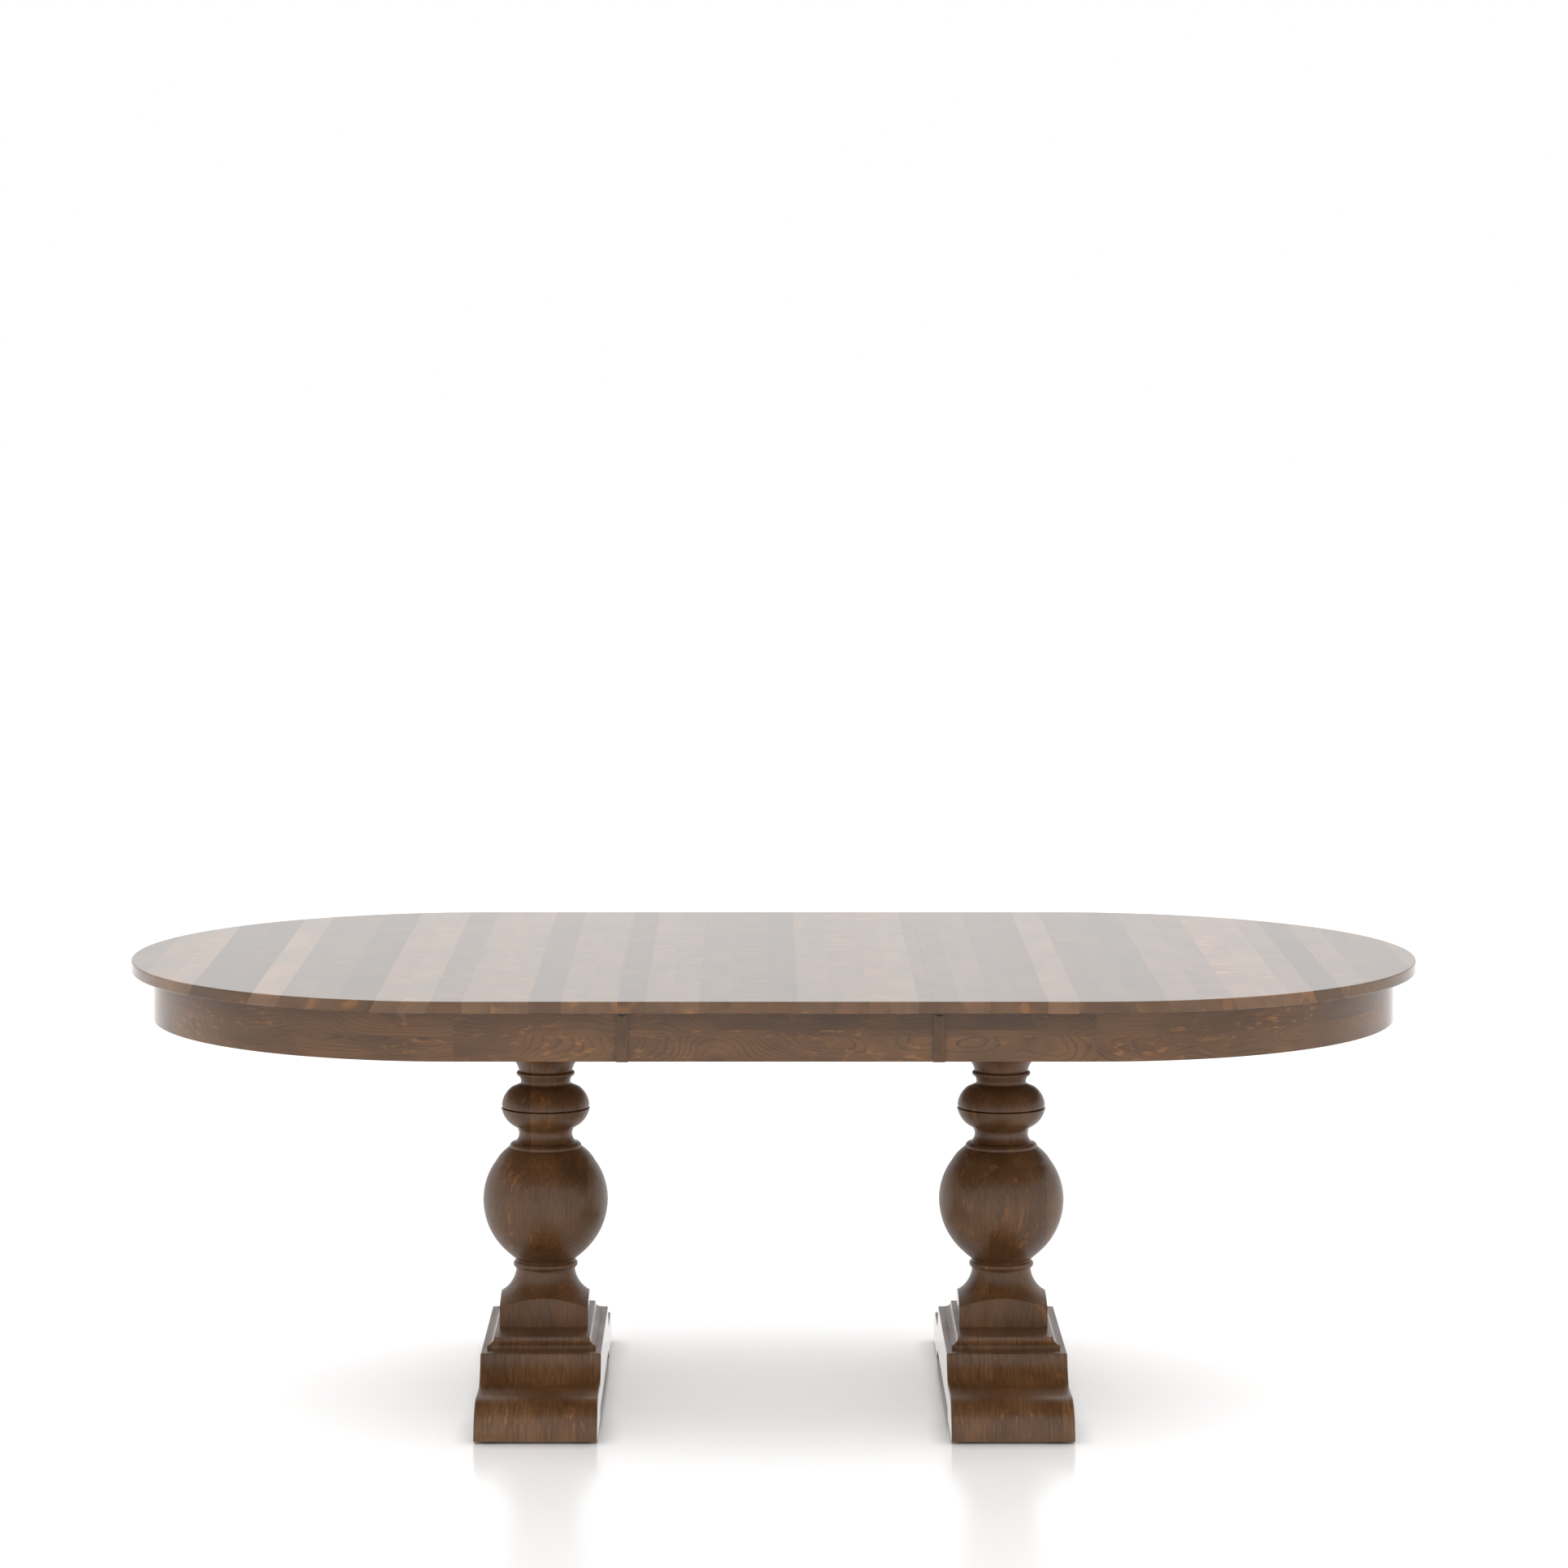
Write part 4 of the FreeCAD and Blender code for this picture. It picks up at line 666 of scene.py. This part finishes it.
def makeColumn(side, tree):
    node = f"{side}_column"
    low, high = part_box(node)
    height = high.z - low.z
    points = outlinePoints(columnOutline, columnShape["ballRadius"], height)
    sizes = {
        "Steps": columnShape["steps"],
        "Axis": ((low.x + high.x) / 2.0, (low.y + high.y) / 2.0, low.z),
        "Square Half": columnShape["square"] / 2.0,
        "Block Radius": columnShape["blockRadius"] * columnShape["ballRadius"],
        "Foot Chamfer Low": columnShape["footChamferLow"] * height,
        "Foot Chamfer High": columnShape["footChamferHigh"] * height,
        "Head Chamfer Low": columnShape["headChamferLow"] * height,
        "Head Chamfer High": columnShape["headChamferHigh"] * height,
        "Merge Within": columnShape["mergeWithin"],
    }
    rows = [(point.x, 0.0, point.y) for point in points]
    links = [(row, row + 1) for row in range(len(rows) - 1)]
    column = growPiece(f"{side}_turned_column", tree, rows, links, sizes, node,
                       columnShape["sharpAngle"])
    print("turned", column.name, len(column.data.polygons), "faces")


turnedTree = makeTurnedTree()
for side in ("left", "right"):
    makeColumn(side, turnedTree)


# Screws, bolts and glides, each kind grown where its solids stand

fasteners = {
    "roundSides": 24,
    "hexSides": 6,
    "recessReach": 0.62,         # cross recess from the axis, as a share of the head's radius
    "recessWidth": 0.24,
    "recessDepth": 0.6,          # share of the head's height
    "tip": 0.22,                 # share of a screw's length that tapers
    "tipRadius": 0.15,
    "hexCorner": 0.88,           # radius of the chamfer that eases the hexagon's corners
    "easingReach": 1.3,          # radius that this chamfer grows to
    "hexHeight": 0.85,           # share of the head's height
    "washerStart": 0.8,          # the same; the washer face laps the hexagon
    "washerReach": 0.95,         # share of the head's radius
    "glideRound": 0.3,           # share of a glide's height that its lower edge slopes
    "buried": 0.5,               # a shank starts this far up inside its head
    "lap": 0.98,                 # a part starts at this share of the way to its neighbour's end
    "sameCorner": 1e-6,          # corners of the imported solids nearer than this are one
    "sharpAngle": 35.0,
}


def frustum(tree, sides, lowRadius, highRadius, low, high):
    cone = addNode(tree, "GeometryNodeMeshCone", {
        "Vertices": sides, "Radius Bottom": lowRadius, "Radius Top": highRadius,
        "Depth": calc(tree, "SUBTRACT", high, low),
    }).outputs["Mesh"]
    return addNode(tree, "GeometryNodeTransform", {
        "Geometry": cone, "Translation": vectorOf(tree, 0.0, 0.0, low),
    }).outputs[0]


def combine(tree, operation, *meshes):
    node = addNode(tree, "GeometryNodeMeshBoolean", operation=operation, solver="EXACT")
    for number, mesh in enumerate(meshes):
        first = operation == "DIFFERENCE" and number == 0
        feed(tree, node.inputs["Mesh 1" if first else "Mesh 2"], mesh)
    return node.outputs[0]


def scaled(tree, value, share):
    return calc(tree, "MULTIPLY", value, share)


def crossScrew(tree, inlet):   # countersunk head with a cross recess, plain shank, tapered tip
    headRadius, headHeight, shankRadius, length = (
        inlet[name] for name in ("Head Radius", "Head Height", "Shank Radius", "Length"))
    sides = fasteners["roundSides"]
    tipLow = scaled(tree, length, 1.0 - fasteners["tip"])
    head = frustum(tree, sides, headRadius, shankRadius, 0.0, headHeight)
    shankLow = scaled(tree, headHeight, fasteners["buried"])
    shank = frustum(tree, sides, shankRadius, shankRadius, shankLow, tipLow)
    tip = frustum(tree, sides, shankRadius, scaled(tree, shankRadius, fasteners["tipRadius"]),
                  scaled(tree, tipLow, fasteners["lap"]), length)
    reach = scaled(tree, headRadius, 2.0 * fasteners["recessReach"])
    width = scaled(tree, headRadius, fasteners["recessWidth"])
    depth = scaled(tree, headHeight, 2.0 * fasteners["recessDepth"])
    slots = [addNode(tree, "GeometryNodeMeshCube", {"Size": vectorOf(tree, *size)}).outputs[0]
             for size in ((reach, width, depth), (width, reach, depth))]
    return combine(tree, "DIFFERENCE", combine(tree, "UNION", head, shank, tip), *slots)


def hexBolt(tree, inlet):   # hexagon head eased at its corners, washer face, shank
    headRadius, headHeight, shankRadius, length = (
        inlet[name] for name in ("Head Radius", "Head Height", "Shank Radius", "Length"))
    sides = fasteners["roundSides"]
    hexTop = scaled(tree, headHeight, fasteners["hexHeight"])
    hexagon = frustum(tree, fasteners["hexSides"], headRadius, headRadius, 0.0, hexTop)
    easing = frustum(tree, sides, scaled(tree, headRadius, fasteners["hexCorner"]),
                     scaled(tree, headRadius, fasteners["easingReach"]), 0.0, headHeight)
    head = combine(tree, "INTERSECT", hexagon, easing)
    washerRadius = scaled(tree, headRadius, fasteners["washerReach"])
    washer = frustum(tree, sides, washerRadius, washerRadius,
                     scaled(tree, headHeight, fasteners["washerStart"]), headHeight)
    shankLow = scaled(tree, headHeight, fasteners["buried"])
    shank = frustum(tree, sides, shankRadius, shankRadius, shankLow, length)
    return combine(tree, "UNION", head, washer, shank)


def padGlide(tree, inlet):   # disc with a sloped lower edge, and its spigot
    headRadius, headHeight, shankRadius, length = (
        inlet[name] for name in ("Head Radius", "Head Height", "Shank Radius", "Length"))
    sides = fasteners["roundSides"] * 2
    slope = scaled(tree, headHeight, fasteners["glideRound"])
    edge = frustum(tree, sides, calc(tree, "SUBTRACT", headRadius, slope), headRadius, 0.0, slope)
    disc = frustum(tree, sides, headRadius, headRadius, scaled(tree, slope, fasteners["lap"]), headHeight)
    spigotLow = scaled(tree, headHeight, fasteners["buried"])
    spigot = frustum(tree, sides, shankRadius, shankRadius, spigotLow, length)
    return combine(tree, "UNION", edge, disc, spigot)


def makeFastenerTree(name, shape, headUp=False):
    tree, inlet = newGeometryTree(name, {
        "Head Radius": "NodeSocketFloat", "Head Height": "NodeSocketFloat",
        "Shank Radius": "NodeSocketFloat", "Length": "NodeSocketFloat",
    })
    one = shape(tree, inlet)
    if headUp:
        turned = addNode(tree, "GeometryNodeTransform", {"Geometry": one, "Rotation": (math.pi, 0.0, 0.0)})
        one = turned.outputs[0]
    many = addNode(tree, "GeometryNodeInstanceOnPoints", {"Points": inlet["Geometry"], "Instance": one})
    closeTree(tree, many.outputs[0], inlet)
    return tree


def solidsOf(node):   # lowest and highest corner of each solid in a node
    copy = bmesh.new()
    copy.from_mesh(cadNodes[node].data)
    bmesh.ops.remove_doubles(copy, verts=copy.verts, dist=fasteners["sameCorner"])
    boxes, seen = [], set()
    for start in copy.verts:
        if start in seen:
            continue
        seen.add(start)
        island, waiting = [], [start]
        while waiting:
            vert = waiting.pop()
            island.append(vert.co)
            fresh = {edge.other_vert(vert) for edge in vert.link_edges} - seen
            seen |= fresh
            waiting += fresh
        boxes.append((Vector(min(p[axis] for p in island) for axis in range(3)),
                      Vector(max(p[axis] for p in island) for axis in range(3))))
    copy.free()
    return boxes


fastenerKinds = {   # head: its height; shank: its radius; headUp: whether the head is at the top
    "screws": {"shape": crossScrew, "head": 0.0030, "shank": 0.0025, "headUp": False, "slot": "steel"},
    "foot_bolts": {"shape": hexBolt, "head": 0.0060, "shank": 0.0050, "headUp": False, "slot": "steel"},
    "head_bolts": {"shape": hexBolt, "head": 0.0060, "shank": 0.0050, "headUp": True, "slot": "steel"},
    "glides": {"shape": padGlide, "head": 0.0040, "shank": 0.0040, "headUp": False, "slot": "nylon"},
}


def makeFasteners():
    for kindName, kind in fastenerKinds.items():
        tree = makeFastenerTree(kindName, kind["shape"], kind["headUp"])
        for node in sorted(n for n in cadNodes if n.endswith(kindName)):
            groups = {}
            for low, high in solidsOf(node):
                groups.setdefault(round(high.z - low.z, 5), []).append((low, high))
            for number, (length, boxes) in enumerate(sorted(groups.items())):
                yield kindName, tree, node, number, length, boxes


fastenerCount = 0
for kindName, tree, node, number, length, boxes in makeFasteners():
    kind = fastenerKinds[kindName]
    places = [((low.x + high.x) / 2.0, (low.y + high.y) / 2.0, high.z if kind["headUp"] else low.z)
              for low, high in boxes]
    low, high = boxes[0]
    sizes = {
        "Head Radius": (high.x - low.x) / 2.0, "Head Height": kind["head"],
        "Shank Radius": kind["shank"], "Length": length,
    }
    growPiece(f"{node}_grown_{number}", tree, places, [], sizes, node,
              fasteners["sharpAngle"])
    fastenerCount += len(places)
print("fasteners grown:", fastenerCount)


# Room, light and camera

room = {
    "floorReach": 40.0,
    "floorTone": 0.86,
    "floorRoughness": 0.18,
    "floorGlow": 0.18,           # seen directly only: it lights nothing
    "paintedShadowDepth": 0.17,            # the glow is up to this much lower under the table, as a painted shadow
    "paintedShadowSize": (1.10, 0.75),    # half axes of the oval of painted shadow
    "paintedShadowFadeStart": 0.25,           # shares of those half axes, between which the painted shadow fades out
    "paintedShadowFadeEnd": 0.95,
    "mirroredGlow": 0.35,        # in reflections the whole floor glows as the far floor does
    "contactShadeReach": 0.04,             # reach of the painted contact shadow, where something nearly touches the floor
    "contactShadeDepth": 2.0,         # higher makes that painted shadow deeper
    "sky": 1.0,
}


def makeFloor():
    mesh = bpy.data.meshes.new("floor")
    reach = room["floorReach"]
    corners = [(-reach, -reach, 0.0), (reach, -reach, 0.0), (reach, reach, 0.0), (-reach, reach, 0.0)]
    mesh.from_pydata(corners, [], [(0, 1, 2, 3)])
    floor = bpy.data.objects.new("floor", mesh)
    bpy.context.scene.collection.objects.link(floor)
    material, tree = newMaterial("paleFloor")
    tone = room["floorTone"]
    shader = addNode(tree, "ShaderNodeBsdfPrincipled", {
        "Base Color": (tone, tone, tone, 1.0), "Roughness": room["floorRoughness"],
    })
    x, y, z = objectAxes(tree)
    # painted shadow: the glow seen by the camera is dimmed in an oval under the table
    shares = [calc(tree, "DIVIDE", place, half) for place, half in zip((x, y), room["paintedShadowSize"])]
    away = calc(tree, "SQRT", calc(tree, "ADD", *(calc(tree, "MULTIPLY", s, s) for s in shares)))
    rise = ramp(tree, away, room["paintedShadowFadeStart"], room["paintedShadowFadeEnd"])
    glow = calc(tree, "MULTIPLY_ADD", rise, room["paintedShadowDepth"], room["floorGlow"])
    # painted contact shadow: ambient occlusion dims the glow where something nearly touches the floor
    openness = addNode(tree, "ShaderNodeAmbientOcclusion", {"Distance": room["contactShadeReach"]}).outputs["AO"]
    glow = calc(tree, "MULTIPLY", glow, calc(tree, "POWER", openness, room["contactShadeDepth"]))
    rays = addNode(tree, "ShaderNodeLightPath").outputs
    direct = calc(tree, "MAXIMUM", rays["Is Camera Ray"], rays["Is Transmission Ray"])
    mirrored = calc(tree, "MULTIPLY", rays["Is Glossy Ray"], room["mirroredGlow"])
    strength = calc(tree, "MULTIPLY_ADD", direct, glow, mirrored)
    light = addNode(tree, "ShaderNodeEmission", {"Strength": strength})
    both = addNode(tree, "ShaderNodeAddShader", {0: shader.outputs[0], 1: light.outputs[0]})
    addNode(tree, "ShaderNodeOutputMaterial", {"Surface": both.outputs[0]})
    mesh.materials.append(material)


def makeSky():
    world = bpy.data.worlds.new("studio")
    world.use_nodes = True
    tree = world.node_tree
    tree.nodes.clear()
    sky = addNode(tree, "ShaderNodeBackground", {"Color": (1.0, 1.0, 1.0, 1.0), "Strength": room["sky"]})
    addNode(tree, "ShaderNodeOutputWorld", {"Surface": sky.outputs[0]})
    bpy.context.scene.world = world


softbox = {"place": (-1.2, -6.0, 2.4), "size": 3.5, "watts": 8.0, "aim": (0.0, 0.0, 0.5)}


def makeSoftbox():
    data = bpy.data.lights.new("softbox", "AREA")
    data.shape = "DISK"
    data.size = softbox["size"]
    data.energy = softbox["watts"]
    lamp = bpy.data.objects.new("softbox", data)
    lamp.location = softbox["place"]
    lamp.rotation_euler = (Vector(softbox["aim"]) - lamp.location).to_track_quat("-Z", "Y").to_euler()
    lamp.visible_glossy = False
    bpy.context.scene.collection.objects.link(lamp)


cameraSetup = {
    "distance": 8.873,       # in front of the table's middle
    "height": 1.900,
    "aside": -0.0295,
    "lens": 116.6,
    "sensor": 36.0,
    "farClip": 200.0,
    "shiftX": 0.0175,        # the photograph is level and its frame is shifted down
    "shiftY": -0.3071,
}


def makeCamera():
    data = bpy.data.cameras.new("camera")
    data.sensor_width = cameraSetup["sensor"]
    data.lens = cameraSetup["lens"]
    data.shift_x = cameraSetup["shiftX"]
    data.shift_y = cameraSetup["shiftY"]
    data.clip_end = cameraSetup["farClip"]
    camera = bpy.data.objects.new("camera", data)
    camera.location = (cameraSetup["aside"], -cameraSetup["distance"], cameraSetup["height"])
    camera.rotation_euler = (math.pi / 2, 0.0, 0.0)
    bpy.context.scene.collection.objects.link(camera)
    bpy.context.scene.camera = camera


makeFloor()
makeSky()
makeSoftbox()
makeCamera()
bpy.context.scene.view_settings.view_transform = "Standard"
print("room, light and camera set up")
